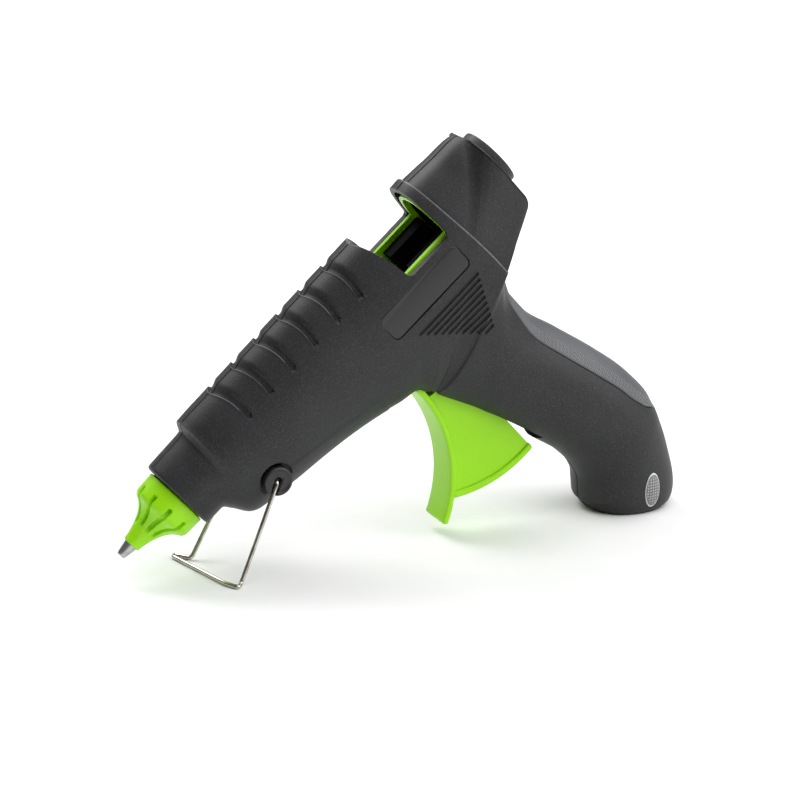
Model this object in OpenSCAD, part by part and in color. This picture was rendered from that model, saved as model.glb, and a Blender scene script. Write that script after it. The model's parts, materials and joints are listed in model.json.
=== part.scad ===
// Hot-melt glue gun for 11 mm sticks, standing on its wire foot and its butt.
// Gun frame: x runs back along the barrel from the mouth of the casing, z is up
// from the barrel's axis and y points to the right side of the gun.
// stand() turns that frame into the frame of the part, where z = 0 is the table.

/* [Stance] */
// Nose-down tilt of the barrel when the gun stands
tilt = 41.5; // [39:0.5:43]
// Height of the barrel's axis over the table at the mouth of the casing
axis_h = 28.2; // [27.6:0.1:28.8]

/* [Barrel] */
// Outer radius of the round nose
nose_r = 13.6; // [13.2:0.1:14.4]
// Length of the narrow nose section along the top
nose_l = 16; // [15:0.5:18]
// Height of the barrel's top over its axis
barrel_top = 17; // [16.6:0.1:18]
// Width of the barrel
barrel_w = 35; // [34:0.5:38]
// Length of the casing from its mouth to the feed window
barrel_l = 99.6; // [97:0.2:103]
// Depth of the belly under the axis behind the nose
belly_z = 24.5; // [24:0.5:27]
// Wall of the casing
wall = 2.2; // [1.8:0.1:2.6]
// Number of scallops along the top of the barrel
scallops = 6; // [3:1:6]
// Spacing of the scallops
scallop_pitch = 11.1; // [10:0.1:11.2]
// Depth of a scallop
scallop_d = 1.1; // [0.6:0.1:1.4]

/* [Head] */
// Length of the feed window
window_l = 24; // [22:0.5:25]
// Height of the window's side rims over the axis
window_z = 1.2; // [0:0.2:3]
// How far the window's front edge sweeps back from the middle to the side
window_sweep = 4.8; // [3:0.2:6]
// Length of the head behind the window
head_l = 28.4; // [27:0.2:30]
// Width of the head
head_w = 37.4; // [36.6:0.2:40]
// Outer radius of the collar around the stick inlet
collar_r = 10.8; // [10.4:0.1:11.4]
// Share of its width that the head loses towards its rear face
hood_taper = 0.14; // [0:0.01:0.16]
// How far the collar stands behind the head's rear face
collar_l = 3.4; // [2.6:0.2:5]

/* [Handle] */
// Rake of the handle away from square to the barrel
rake = 16.5; // [15:0.5:18]
// Depth of the handle, front to back
handle_d = 37.8; // [36:0.2:39]
// Width of the handle
handle_w = 34.4; // [33.6:0.2:37]
// How far the toe of the butt sweeps forward
toe = 12.6; // [11:0.2:13.4]
// Thickness of the soft grip on the back of the handle
grip_t = 2.6; // [2:0.1:3]
// Joint gap around the soft grip
grip_gap = 0.35; // [0.2:0.05:0.5]

/* [Trigger] */
// Width of the trigger
trigger_w = 14.4; // [12:0.2:16]
// Outer radius of the trigger's closing arc about its pivot
arc_r = 48.8; // [47:0.2:50]
// Thickness of the closing arc and of the side plates
arc_t = 2.4; // [2:0.1:3]
// Inner radius of the finger face's curve
face_r = 47; // [45:0.5:50]
// Thickness of the finger plate
face_t = 2.2; // [1.8:0.1:3]
// Radius of the trigger's pivot pin
pivot_r = 2; // [1.6:0.1:2.4]
// Running clearance on a pin's radius
run = 0.05; // [0.02:0.01:0.09]
// Length of the trigger's inner lever
lever_l = 21; // [20:0.5:22]
// Travel of the trigger in degrees
squeeze = 22; // [18:1:24]

/* [Feed] */
// Radius of the glue stick
stick_r = 5.6; // [5:0.1:5.8]
// Clearance around the stick in its guide
stick_gap = 0.4; // [0.3:0.05:0.6]
// Outer radius of the sliding feed carriage
carriage_r = 14.2; // [13.6:0.1:14.4]
// Wall of the feed carriage
carriage_t = 1.6; // [1.2:0.1:2]
// Length of the feed carriage
carriage_l = 30.6; // [29:0.2:31]

/* [Melt] */
// Outer radius of the melt chamber
chamber_r = 8.4; // [8:0.1:9]
// Length of the melt chamber
chamber_l = 56; // [50:1:58]
// Length of the insulated nozzle cap in front of the casing
cap_l = 22.2; // [20:0.2:24]
// Radius of the nozzle cap's wide ring
cap_r = 11.4; // [10.8:0.1:11.5]
// Number of cooling slots around the nozzle cap
cap_slots = 10; // [8:1:14]
// Length of the metal tip beyond the cap
tip_l = 5; // [4:0.2:6]
// Length of the heater element
heater_l = 24; // [20:1:30]

/* [Stand] */
// Diameter of the stand's wire
wire_d = 1.5; // [1.2:0.1:1.8]
// Radius of the stand's hubs
hub_r = 5; // [4.5:0.1:5.5]
// How far the foot stands in front of the hubs
foot_x = 14.7; // [12:0.2:16]
// Reach of the foot to the right of the gun's middle
foot_out = 15.8; // [14:0.2:17]

/* [Fittings] */
// Number of teeth on the grip jaw
jaw_teeth = 5; // [3:1:6]
// Radius of a case screw's shank
screw_r = 1.4; // [1.2:0.05:1.6]
// Radius of a lead over its insulation
lead_r = 0.9; // [0.7:0.05:1]
// Length of the lamp's lens
lens_l = 13; // [11:0.5:14]
// Width of the lamp's lens
lens_w = 6.3; // [5:0.1:7]
// Length of a badge plate
badge_l = 36; // [30:0.5:37]
// Height of a badge plate
badge_h = 9.8; // [8:0.2:11]

/* [Hidden] */
$fn = 48;
eps = 0.01;
gap = 0.3;

// Places along the barrel
window_x = barrel_l;
head_x = window_x + window_l;
head_end = head_x + head_l;
st = sin(tilt);
ct = cos(tilt);

// Height over the table of a point of the gun frame, and its reach along the table
function height(p) = p[0] * st + p[1] * ct + axis_h;
function reach(p) = p[0] * ct - p[1] * st;
// The point of the gun frame at reach r and height h
function placed(r, h) = [r * ct + (h - axis_h) * st, (h - axis_h) * ct - r * st];

// Handle frame: u runs down the handle from the throat, v runs from front to back.
// The handle reaches the table, so its u stretches with the throat's height over it.
throat = [head_x - 39.6, -41];
handle_l = height(throat) / (cos(rake) * ct - sin(rake) * st);
stretch = handle_l / 100.304;
function on_handle(u, v) = throat + u * stretch * [sin(rake), -cos(rake)]
    + v * [cos(rake), sin(rake)];

// The butt's flat base lies on the table
base_front = reach(on_handle(83.731, -10.356));
base_l = 28.4;

// The casing is a loft. Each station has its bottom or front point, its top or back
// point, its half width and its roundness, which is the power of its superellipse.
bw = barrel_w / 2;
hw = head_w / 2;
gw = handle_w / 2;
nose_stations = [
    [[0, -nose_r], [0, nose_r], nose_r, 2],
    [[nose_l * 0.44, -nose_r], [nose_l * 0.44, nose_r + 0.2], nose_r + 0.1, 2],
    [[nose_l * 0.58, -nose_r - 2.8], [nose_l * 0.84, nose_r + 0.3], nose_r + 1, 2],
    [[nose_l * 0.81, -belly_z + 1.9], [nose_l, nose_r + 0.6], nose_r + 1.8, 2.05],
    [[nose_l, -belly_z + 0.2], [nose_l + 2, barrel_top + 0.2], bw - 1.4, 2.1]];

// The barrel's stations follow the scallops: a crest, its sharp edge, the floor and
// the run-out of each
first_scallop = 31.6;
crest_steps = [0, 0.4, 3.2, 7];
crest_cut = [0, 1, 0.8, 0];
function top_z(x) = barrel_top + 0.4 + 0.4 * x / barrel_l;
function under_z(x) = let (k = (x - nose_l) / (barrel_l - nose_l))
    -belly_z - 8.2 * k - 4.3 * pow(max(0, k - 0.35) / 0.65, 2.4);
function barrel_station(x, cut) = let (k = (x - nose_l) / (barrel_l - nose_l))
    [[nose_l + (x - nose_l) * 0.735, under_z(x)], [x, top_z(x)],
        bw - 1.1 + (hw - bw + 0.9) * k, 2.1 + 0.1 * k, cut];
barrel_stations = concat([barrel_station(nose_l + 7, 0)],
    [for (i = [0 : scallops - 1], j = [0 : 3])
        barrel_station(first_scallop + i * scallop_pitch + crest_steps[j],
            crest_cut[j] * scallop_d)]);

// Round the head the front points crowd in the throat and the back points travel
// along the top, down the rear face and in under it to the web of the hand
lip = 1.2;
head_stations = [
    [throat - [3.6, -3.8], [window_x + 12, top_z(barrel_l)], hw - 0.1, 2.25],
    [throat - [1.7, -0.8], [head_x, barrel_top + 1.6], hw, 2.3],
    [throat - [0.9, 0.3], [head_x + 3.4, barrel_top + 1.8], hw, 2.3],
    [throat - [0.8, 0.4], [head_x + 4.2, barrel_top + 1.8 - lip], hw, 2.35],
    [throat - [0.5, 0.6], [head_x + 15, barrel_top], hw, 2.4],
    [throat - [0.3, 0.8], [head_end - 1, barrel_top - 0.8], hw, 2.5, undef, 0, 2.4],
    [throat - [0.2, 1], [head_end, barrel_top - 1.7], hw, 2.5, undef, 1.4, 2.45],
    [throat - [0.1, 1.1], [head_end, barrel_top - 3.4], hw, 2.5, undef, 6, 2.5],
    [throat - [0, 1.2], [head_end, barrel_top - 6], hw, 2.5, undef, 14.5, 2.6],
    [throat - [0, 1.3], [head_end, barrel_top - 9.5], hw, 2.5, undef, 19.5, 3.2],
    [throat - [0, 1.4], [head_end, 1.5], hw, 2.5, undef, 21.5, 4.6],
    [throat - [0, 1.5], [head_end, -10], hw, 2.5, undef, 20, 4.6],
    [throat - [0, 1.6], [head_end - 0.6, -12.9], hw, 2.5, undef, 17, 4],
    [throat - [0, 1.8], [head_end - 2, -14.9], hw, 2.5, undef, 13, 3.6],
    [throat - [0, 2], [head_end - 5.4, -17], hw - 0.1, 2.45, undef, 7, 3],
    [throat + [0.6, -3.6], [head_end - 12.6, -21.6], gw + 1, 2.3]];

back = handle_d + 2.6;
handle_stations = [
    [on_handle(19.2, 1.6), on_handle(0.4, back + 7.4), gw + 0.7, 2.2],
    [on_handle(23, 1.8), on_handle(7.7, back + 3.2), gw + 0.4, 2.15],
    [on_handle(27.8, 2.2), on_handle(17.3, back + 0.4), gw + 0.1, 2.1],
    [on_handle(38.3, 2.6), on_handle(34.8, back), gw - 0.2, 2.1],
    [on_handle(50.4, 2.8), on_handle(52.6, back - 0.1), gw - 0.2, 2.1],
    [on_handle(60.2, 2.6), on_handle(67.4, back - 1.3), gw, 2.1],
    [on_handle(66.6, 1.3), on_handle(76.7, back - 3.4), gw + 0.2, 2.1],
    [on_handle(72.4, 2.6 - toe / 3), on_handle(83.7, back - 6.6), gw + 0.4, 2.1],
    [on_handle(76.1, 2.6 - toe * 0.68), on_handle(89.2, back - 10.3), gw + 0.4, 2.1],
    [on_handle(78.6, 2.6 - toe * 0.92), on_handle(96.3, back - 16.1), gw + 0.2, 2.15],
    [placed(base_front - 1.7, 3), placed(base_front + base_l + 3.4, 5.4),
        gw - 0.6, 2.2],
    [placed(base_front - 1, 1), placed(base_front + base_l + 1.7, 1.4), gw - 1.6, 2.3],
    [placed(base_front, 0), placed(base_front + base_l, 0), gw - 2.8, 2.3]];

// A station a share k of the way from a to b
function mix(a, b, k) = [for (m = [0 : 3]) a[m] + (b[m] - a[m]) * k];
n_head = len(head_stations);
grip_rows = 8;
stations = concat(nose_stations, barrel_stations,
    [for (i = [0 : n_head - 2]) head_stations[i]],
    [mix(head_stations[n_head - 2], head_stations[n_head - 1], 0.95)],
    [head_stations[n_head - 1]], [for (i = [0 : grip_rows - 1]) handle_stations[i]],
    [mix(handle_stations[grip_rows - 1], handle_stations[grip_rows], 0.05)],
    [for (i = [grip_rows : len(handle_stations) - 1]) handle_stations[i]]);
n_st = len(stations);
i_grip = len(nose_stations) + len(barrel_stations) + n_head;
i_grip_end = i_grip + grip_rows;

// Where the soft grip's edge crosses a station, as a share of the way to the back
edge_share = [0.985, 0.94, 0.885, 0.835, 0.80, 0.79, 0.79, 0.83, 0.94];
function edge_t(i) = edge_share[min(max(i - i_grip, 0), grip_rows)];
function grip_on(i) = i >= i_grip && i <= i_grip_end ? 1 : 0;

// Angle round a section at which a share t of the way across is reached
function section_angle(t, n) = let (a = 2 * t - 1)
    acos(-sign(a) * pow(abs(a), n / 2));
// A section's point at angle f, moved in by d towards the section's middle.
// p is the station and the result is [x, y, z] with y on the left side.
function section_point(s, f, d) =
    let (c = cos(f), n = c < 0 ? power(s) : s[3],
        t = min(1, run_on(s) * (1 - sign(c) * pow(abs(c), 2 / n)) / 2),
        q = s[0] + (s[1] - s[0]) * t,
        y = s[2] * narrowed(q) * pow(abs(sin(f)), 2 / n),
        m = (s[0] + s[1]) / 2,
        v = [q[0] - m[0], y, q[1] - m[1]],
        k = 1 - d / norm(v))
    [m[0] + v[0] * k, -v[1] * k, m[1] + v[2] * k];

// A station's fifth value is a cut's depth. Its sixth is how far the section would run
// on past its back point, where it is cut off square, and its seventh is the roundness
// of its back half.
function power(s) = s[6] == undef ? s[3] : s[6];
function narrowed(q) = 1 - hood_taper * min(1, max(0, (q[0] - head_x - 5) / (head_l - 5)))
    * min(1, max(0, (q[1] + 26) / 6));
function run_on(s) = s[5] == undef ? 1 : 1 + s[5] / norm(s[1] - s[0]);

// Columns of the casing's grid: nf before the grip's edge and nb behind it
nf = 9;
nb = 4;
columns = nf + nb + 2;
edge_step = 0.6;
function column_angle(s, i, j) =
    let (e = section_angle(min(edge_t(i), 1 / run_on(s)), power(s)))
    j <= nf ? e * j / nf : e + edge_step + (180 - e - edge_step) * (j - nf - 1) / nb;
function cut_at(s, f) = s[4] == undef ? 0 : s[4] * min(1, max(0, (f - 126) / 10));
scallop_sweep = 4.6;
function outer_point(i, j) = let (s = stations[i], f = column_angle(s, i, j),
    p = section_point(s, f, cut_at(s, f) + (j > nf ? grip_t * grip_on(i) : 0)))
    s[4] == undef || f < 90 ? p
    : p + [scallop_sweep * pow(p[1] / bw, 2) * sin(f - 90), 0, 0];
// The cavity follows the outside a wall further in, and stops a floor above the base
floor_t = 3;
function lifted(p) = height(p) < floor_t ? placed(reach(p), floor_t) : p;
function inner_station(i) = let (s = stations[i],
    v = (s[1] - s[0]) / norm(s[1] - s[0]),
    a = s[0] + v * wall, b = s[1] - v * (wall + grip_t * grip_on(i)),
    k = i - (n_st - 4))
    k <= 0 ? [a, b, s[2] - wall, s[3], undef, s[5], s[6]]
    : [placed(base_front + wall + 1.4 - 1.6 * (3 - k), floor_t + 0.5 * (3 - k)),
        placed(base_front + base_l - wall - 1 + 1.6 * (3 - k), floor_t + 0.9 * (3 - k)),
        s[2] - wall, s[3]];
function inner_point(i, j) = let (s = inner_station(i))
    section_point(s, 180 * j / (columns - 1), 0);

// One half of the bare casing: outside, cavity, parting rims, mouth and base
module casing_half() {
    outer = [for (i = [0 : n_st - 1], j = [0 : columns - 1]) outer_point(i, j)];
    inner = [for (i = [0 : n_st - 1], j = [0 : columns - 1]) inner_point(i, j)];
    n = n_st * columns;
    last = (n_st - 1) * columns;
    e = columns - 1;
    outside = [for (i = [0 : n_st - 2], j = [0 : e - 1])
        let (a = i * columns + j, b = a + columns)
        each [[a, a + 1, b + 1], [a, b + 1, b]]];
    inside = [for (i = [0 : n_st - 2], j = [0 : e - 1])
        let (a = n + i * columns + j, b = a + columns)
        each [[a, b + 1, a + 1], [a, b, b + 1]]];
    rims = [for (i = [0 : n_st - 2])
        let (a = i * columns, b = a + columns)
        each [[a, b, n + b], [a, n + b, n + a],
            [b + e, a + e, n + a + e], [b + e, n + a + e, n + b + e]]];
    mouth = [for (j = [0 : e - 1]) each [[j, n + j, n + j + 1], [j, n + j + 1, j + 1]]];
    base = [[for (j = [0 : e]) last + j], [for (j = [0 : e]) n + last + e - j],
        [last, last + e, n + last + e, n + last]];
    polyhedron(concat(outer, inner), concat(outside, inside, rims, mouth, base));
}

// The left half of the gun's whole form, moved in by d, without a cavity
core_columns = 9;
module form_half(d) {
    e = core_columns - 1;
    points = [for (i = [0 : n_st - 1], j = [0 : e])
        section_point(stations[i], 180 * j / e, d)];
    last = (n_st - 1) * core_columns;
    outside = [for (i = [0 : n_st - 2], j = [0 : e - 1])
        let (a = i * core_columns + j, b = a + core_columns)
        each [[a, a + 1, b + 1], [a, b + 1, b]]];
    middle = [for (i = [0 : n_st - 2])
        let (a = i * core_columns, b = a + core_columns)
        each [[a, b, b + e], [a, b + e, a + e]]];
    ends = [[for (j = [0 : e]) e - j], [for (j = [0 : e]) last + j]];
    polyhedron(points, concat(outside, middle, ends));
}

// Placing helpers of the gun frame
module stand() {
    translate([-mid_reach, 0, axis_h]) rotate([0, -tilt, 0]) children();
}
module along(x, z = 0, y = 0) { translate([x, y, z]) rotate([0, 90, 0]) children(); }
module across(p, y0, y1, r) {
    translate([p[0], y0, p[1]]) rotate([-90, 0, 0]) cylinder(r = r, h = y1 - y0);
}
module tube(x0, x1, ro, ri) {
    along(x0) difference() {
        cylinder(r = ro, h = x1 - x0);
        translate([0, 0, -1]) cylinder(r = ri, h = x1 - x0 + 2);
    }
}
module block(x, y, z) {
    translate([x[0], y[0], z[0]]) cube([x[1] - x[0], y[1] - y[0], z[1] - z[0]]);
}
// A tube along a bent line: corners are rounded and the rings carried without twist
function unit(v) = v / norm(v);
function eased(p, r) = let (n = len(p)) [p[0],
    for (i = [1 : n - 2]) let (u = unit(p[i - 1] - p[i]), v = unit(p[i + 1] - p[i]),
        d = min(r, norm(p[i - 1] - p[i]) * 0.45, norm(p[i + 1] - p[i]) * 0.45),
        a = p[i] + u * d, b = p[i] + v * d)
        each [for (k = [0 : 3]) let (w = k / 3)
            a * pow(1 - w, 2) + p[i] * 2 * w * (1 - w) + b * w * w], p[n - 1]];
function carried(t, i, m) = i == len(t) ? [] : let (w = unit(m - (m * t[i]) * t[i]))
    concat([w], carried(t, i + 1, w));
module bent_tube(p, r, sides, up) {
    n = len(p);
    t = [for (i = [0 : n - 1]) unit(p[min(i + 1, n - 1)] - p[max(i - 1, 0)])];
    m = carried(t, 0, up);
    rings = [for (i = [0 : n - 1], k = [0 : sides - 1]) let (a = 360 * k / sides)
        p[i] + r * (m[i] * cos(a) + cross(t[i], m[i]) * sin(a))];
    faces = concat([[for (k = [0 : sides - 1]) k]],
        [for (i = [0 : n - 2], k = [0 : sides - 1])
            let (a = i * sides + k, b = i * sides + (k + 1) % sides)
            each [[a, a + sides, b + sides], [a, b + sides, b]]],
        [[for (k = [0 : sides - 1]) n * sides - 1 - k]]);
    polyhedron(rings, faces);
}
// A cylinder's sector in the side plane, its axis across the gun at p
module sector(p, r, a0, a1, y0, y1) {
    far = r * 1.5;
    am = (a0 + a1) / 2;
    translate([p[0], y1, p[1]]) rotate([90, 0, 0]) linear_extrude(y1 - y0)
        intersection() {
            circle(r = r, $fn = 120);
            polygon([[0, 0], far * [cos(a0), sin(a0)],
                2 * far * [cos(am), sin(am)], far * [cos(a1), sin(a1)]]);
        }
}

// Shared places
pivot = throat + [10, 4];
lever_rest = squeeze / 2;
lever_end = pivot + lever_l * [sin(lever_rest), cos(lever_rest)];
stroke = 2 * lever_l * sin(lever_rest);
spring_post = pivot + [24, 6];
lever_w = 9;
lever_slot = 4.2;
hub = [26.1, -15.3];
hub_floor = 13.3;
hub_face = 17.2;
stub_r = 3;
stub_l = 4;
guide_ri = stick_r + stick_gap;
guide_ro = guide_ri + 1.5;
collar_z = 1.6;
guide_x = head_x + 5;
bore_r = stick_r + 0.3;
chamber_x = 6;
chamber_end = chamber_x + chamber_l;
spigot_l = 8;
carriage_x = head_x - carriage_l + 2.2;
jaw_pivot = [carriage_x + 12, -9.6];
link_l = jaw_pivot[0] - lever_end[0];
screw_places = [[16.6, -17], [chamber_end + 4, -24.6], [head_x + 18, -13.6],
    on_handle(44, 28), on_handle(75, 6)];
screw_head_r = 2.5;
boss_r = 3.7;
socket = placed(base_front + base_l / 2, 0);
lens_place = placed(base_front + base_l / 2 + 2.8, lens_l / 2 + 2.6);
lens_back = gw - 6.2;
badge_place = [window_x + 4.9, -6.2];
rail_z = -11.5;
tip_end = -cap_l - tip_l;
mid_reach = (reach([tip_end, 1.4]) + base_front + base_l + 3.4) / 2;

// Stands in the frame of the gun's butt: origin on the table under the socket, z up
module at_butt(p) { translate([p[0], 0, p[1]]) rotate([0, tilt, 0]) children(); }
module stadium(l, w) {
    for (s = [-1, 1]) translate([0, s * (l - w) / 2]) circle(d = w);
    square([w, l - w], center = true);
}
module lens_shape(grow, y0, y1) {
    translate([lens_place[0], y1, lens_place[1]]) rotate([0, tilt, 0])
        rotate([90, 0, 0]) linear_extrude(y1 - y0) scale([lens_w / lens_l, 1])
        circle(d = lens_l + 2 * grow, $fn = 64);
}
module badge_shape(grow, y0, y1) {
    l = badge_l + 2 * grow;
    h = badge_h + 2 * grow;
    r = 2.2 + grow;
    translate([badge_place[0], y1, badge_place[1]]) rotate([90, 0, 0])
        linear_extrude(y1 - y0) union() {
            square([l - 2 * r, h], center = true);
            square([l, h - 2 * r], center = true);
            for (i = [-1, 1], j = [-1, 1])
                translate([i * (l / 2 - r), j * (h / 2 - r)]) circle(r = r);
        }
}

// Bosses: place, inner and outer end as distances from the middle, and radius
screw_ends = [bw - 10.6, bw - 7.3, hw - 4.4, gw - 3, gw - 6];
bosses = concat([for (i = [0 : len(screw_places) - 1])
    [screw_places[i], 0.01, screw_ends[i], boss_r]],
    [[pivot, lever_w / 2 + 2.1, hw - 6.1, 4.2],
    [hub, hub_floor - stub_l, bw - 6, 4.4],
    [spring_post, 2.6, hw - 1.3, 3], [spring_post, 0.01, 5, 1.2]]);
badge_t = 1;
badge_face = hw - 0.15;
pivot_half = 10.8;

// Bosses, ribs and rails that stand inside the left half
module inner_works() {
    for (b = bosses) across(b[0], -b[2], -b[1], b[3]);
    for (x = [chamber_end - 6.2, chamber_end + 1.4])
        rib([x, x + 1.6], bw - 1.4, [-10, 0], chamber_r + 0.8);
    rib([head_x + 10, head_x + 12], hw - 1.8, [-9, 0], guide_ro + 0.15);
    block([carriage_x - stroke - 2, head_x + 4], [-hw + 1.2, -rail_y],
        [rail_z - 1, rail_z + 1]);
}
module rib(x, out, z, ri) {
    difference() {
        block(x, [-out, 0], z);
        along(x[0] - 1) cylinder(r = ri, h = x[1] - x[0] + 2);
    }
}
rail_y = sqrt(pow(carriage_r + gap, 2) - pow(rail_z + 1, 2));
module trigger_slot() {
    half = trigger_w / 2 + 0.4;
    end = -86 + squeeze + 1.5;
    sector(pivot, arc_r + 0.5, -135, end, -half, half);
    translate([0, half, 0]) rotate([90, 0, 0]) linear_extrude(2 * half)
        polygon([throat + [-3.6, 11], throat + [-3.6, -6], throat + [-12, -30],
            throat + [10, -30], throat + [10, 4]]);
}

module feed_window() {
    far = hw + 4;
    translate([0, 0, window_z]) linear_extrude(barrel_top + 6) polygon([[window_x, 0],
        [window_x + window_sweep, hw], [window_x + window_sweep, far], [head_x, far],
        [head_x, -far], [window_x + window_sweep, -far], [window_x + window_sweep, -hw]]);
}

// The left half with all its openings; the right half adds the screws' heads
module finished_half(right) {
    difference() {
        union() {
            casing_half();
            inner_works();
            difference() {
                along(head_end - 5, collar_z) cylinder(r = collar_r, h = 5 + collar_l);
                block([head_end - 6, head_end + collar_l + 1], [0, collar_r + 1],
                    [-collar_r, collar_r + 3]);
            }
        }
        feed_window();
        trigger_slot();
        along(head_end - 9) cylinder(r = guide_ro + 0.15, h = collar_l + 10);
        across(hub, -hw - 3, -hub_floor, hub_r + 1.3);
        across(hub, -hub_floor - 1, 0, stub_r + run);
        across(pivot, -pivot_half, 1, pivot_r + run);
        badge_shape(0.1, -hw - 1, -badge_face + badge_t + 0.05);
        at_butt(socket) translate([0, 0, -1]) linear_extrude(floor_t + 6)
            stadium(15.6, 9.4);
        for (p = screw_places) {
            if (right) {
                across(p, -6, 1, screw_r + 0.25);
                across(p, -hw - 2, -6, screw_head_r + 0.25);
            } else across(p, -6.4, 1, screw_r + 0.03);
        }
        if (!right) lens_shape(0.15, -hw, -6);
    }
}
module shell_left() { color("#2b2c2e") stand() finished_half(false); }
module shell_right() { color("#2b2c2e") stand() mirror([0, 1, 0]) finished_half(true); }

// The soft grip lies in the casing's recess over the back of the handle
module grip_insert() {
    half = 5;
    m = 2 * half + 1;
    rows = [for (i = [i_grip : i_grip_end]) i];
    function grip_point(i, k, d) = let (s = stations[i],
        e = section_angle(edge_t(i), s[3]) + edge_step + grip_gap * 3.2,
        f = e + (180 - e) * (half - abs(k - half)) / half,
        p = section_point(s, f, d)) k <= half ? p : [p[0], -p[1], p[2]];
    outer = [for (i = rows, k = [0 : m - 1]) grip_point(i, k, 0)];
    inner = [for (i = rows, k = [0 : m - 1]) grip_point(i, k, grip_t - 0.12)];
    n = len(rows) * m;
    l = (len(rows) - 1) * m;
    skin = [for (r = [0 : len(rows) - 2], k = [0 : m - 2])
        let (a = r * m + k, b = a + m)
        each [[a, a + 1, b + 1], [a, b + 1, b],
            [n + a, n + b + 1, n + a + 1], [n + a, n + b, n + b + 1]]];
    sides = [for (r = [0 : len(rows) - 2]) let (a = r * m, b = a + m, e = m - 1)
        each [[a, b, n + b], [a, n + b, n + a],
            [b + e, a + e, n + a + e], [b + e, n + a + e, n + b + e]]];
    ends = [for (k = [0 : m - 2]) each [[k, n + k, n + k + 1], [k, n + k + 1, k + 1],
        [l + k, l + k + 1, n + l + k + 1], [l + k, n + l + k + 1, n + l + k]]];
    color("#37383a") stand() polyhedron(concat(outer, inner), concat(skin, sides, ends));
}

module badge_left() {
    color("#1c1c1e") stand() badge_shape(0, -badge_face, -badge_face + badge_t);
}
module badge_right() {
    color("#1c1c1e") stand() badge_shape(0, badge_face - badge_t, badge_face);
}

// Nozzle: an insulated cap with cooling slots over a metal tip
cap_profile = [[0, 3], [2.7, 3.4], [7.2, 4.8], [10.2, 6.3], [12.4, 8.4], [13.8, cap_r - 0.9],
    [cap_l - 2.5, cap_r - 0.2], [cap_l - 0.3, cap_r - 0.2], [cap_l - 0.3, cap_r - 1.4],
    [cap_l + 3, cap_r - 1.4]];
tip_hole = 2.75;
module nozzle_cap() {
    ring_x = 12.4;
    color("#84d11f") stand() along(-cap_l) difference() {
        rotate_extrude($fn = 96) polygon(concat([[tip_hole, 0]],
            [for (p = cap_profile) [p[1], p[0]]],
            [[cap_r - 3.2, cap_l + 3], [cap_r - 3.2, 14.6], [5, 9], [tip_hole, 5]]));
        for (i = [0 : cap_slots - 1]) rotate([0, 0, (i + 0.5) * 360 / cap_slots])
            translate([6.1, -0.7, 8.5]) rotate([0, 28, 0]) cube([8, 1.4, 9.6]);
    }
}
module nozzle_tip() {
    color("#c9cbcd") stand() along(tip_end) rotate_extrude($fn = 64)
        polygon([[0.9, 0], [1.4, 0.05], [2.3, tip_l + 0.6], [2.6, tip_l + 5],
            [2.6, -tip_end + 1.2], [6, -tip_end + 3.2], [6, chamber_x - tip_end - 0.1],
            [4.4, chamber_x - tip_end - 0.1], [4.4, chamber_x - tip_end + 4.5],
            [2.6, chamber_x - tip_end + 4.5], [1.6, 12], [0.9, 4]]);
}

// Melt chamber: a cast tube with a flat pad for the heater under it
pad_z = -chamber_r - 3.6;
pad_w = 12.4;
heater_x = chamber_x + chamber_l / 2 - heater_l / 2;
module melt_chamber() {
    color("#b4b6b8") stand() difference() {
        union() {
            along(chamber_x) cylinder(r = chamber_r, h = chamber_l);
            along(chamber_end - 1) cylinder(r = bore_r + 1, h = spigot_l + 1);
            block([heater_x - 2, heater_x + heater_l + 2], [-pad_w / 2, pad_w / 2],
                [pad_z, 0]);
        }
        along(chamber_x - 1) cylinder(r = 4.5, h = 6);
        along(chamber_x + 4.9) cylinder(r1 = 3, r2 = bore_r, h = 12);
        along(chamber_x + 16.8) cylinder(r = bore_r, h = chamber_l + spigot_l);
    }
}
plate_t = 0.5;
element_t = 2.2;
seat_gap = 0.05;
element_z = pad_z - plate_t - 2 * seat_gap;
module heater_element() {
    color("#8f8a80") stand() block([heater_x, heater_x + heater_l], [-5.5, 5.5],
        [element_z - element_t, element_z]);
}
module heater_plates() {
    color("#c9a24b") stand() for (z = [pad_z - seat_gap, element_z - element_t - seat_gap])
        block([heater_x - 1, heater_x + heater_l + 1], [-5.8, 5.8], [z - plate_t, z]);
}
clip_z = element_z - element_t - plate_t - 2 * seat_gap;
module heater_clip() {
    x = [heater_x + 3, heater_x + heater_l - 3];
    color("#9a9ea3") stand() union() {
        block(x, [-pad_w / 2 - 0.85, pad_w / 2 + 0.85], [clip_z - 0.8, clip_z]);
        for (s = [-1, 1]) block(x, s > 0 ? [pad_w / 2 + 0.05, pad_w / 2 + 0.85]
            : [-pad_w / 2 - 0.85, -pad_w / 2 - 0.05], [clip_z - 0.1, pad_z + 2.6]);
    }
}
module chamber_seat_front() {
    color("#d8d2c4") stand() tube(chamber_x + 1, chamber_x + 5, nose_r - wall - 0.2,
        chamber_r + 0.1);
}
module chamber_seat_rear() {
    color("#d8d2c4") stand() tube(chamber_end - 4.4, chamber_end + 1.2, bw - wall - 1,
        chamber_r + 0.1);
}
sleeve_ro = bore_r + 2.6;
sleeve_l = 22;
module inlet_sleeve() {
    color("#c65b3c") stand() difference() {
        along(chamber_end + 1.5) cylinder(r = sleeve_ro, h = sleeve_l - 1.5);
        along(chamber_end) cylinder(r = bore_r + 1.05, h = spigot_l + 0.2);
        along(chamber_end) cylinder(r = bore_r + 0.05, h = sleeve_l + 1);
    }
}
module sleeve_clip() {
    color("#9a9ea3") stand() tube(chamber_end + 3.4, chamber_end + 5.4, sleeve_ro + 0.8,
        sleeve_ro + 0.05);
}

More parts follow.
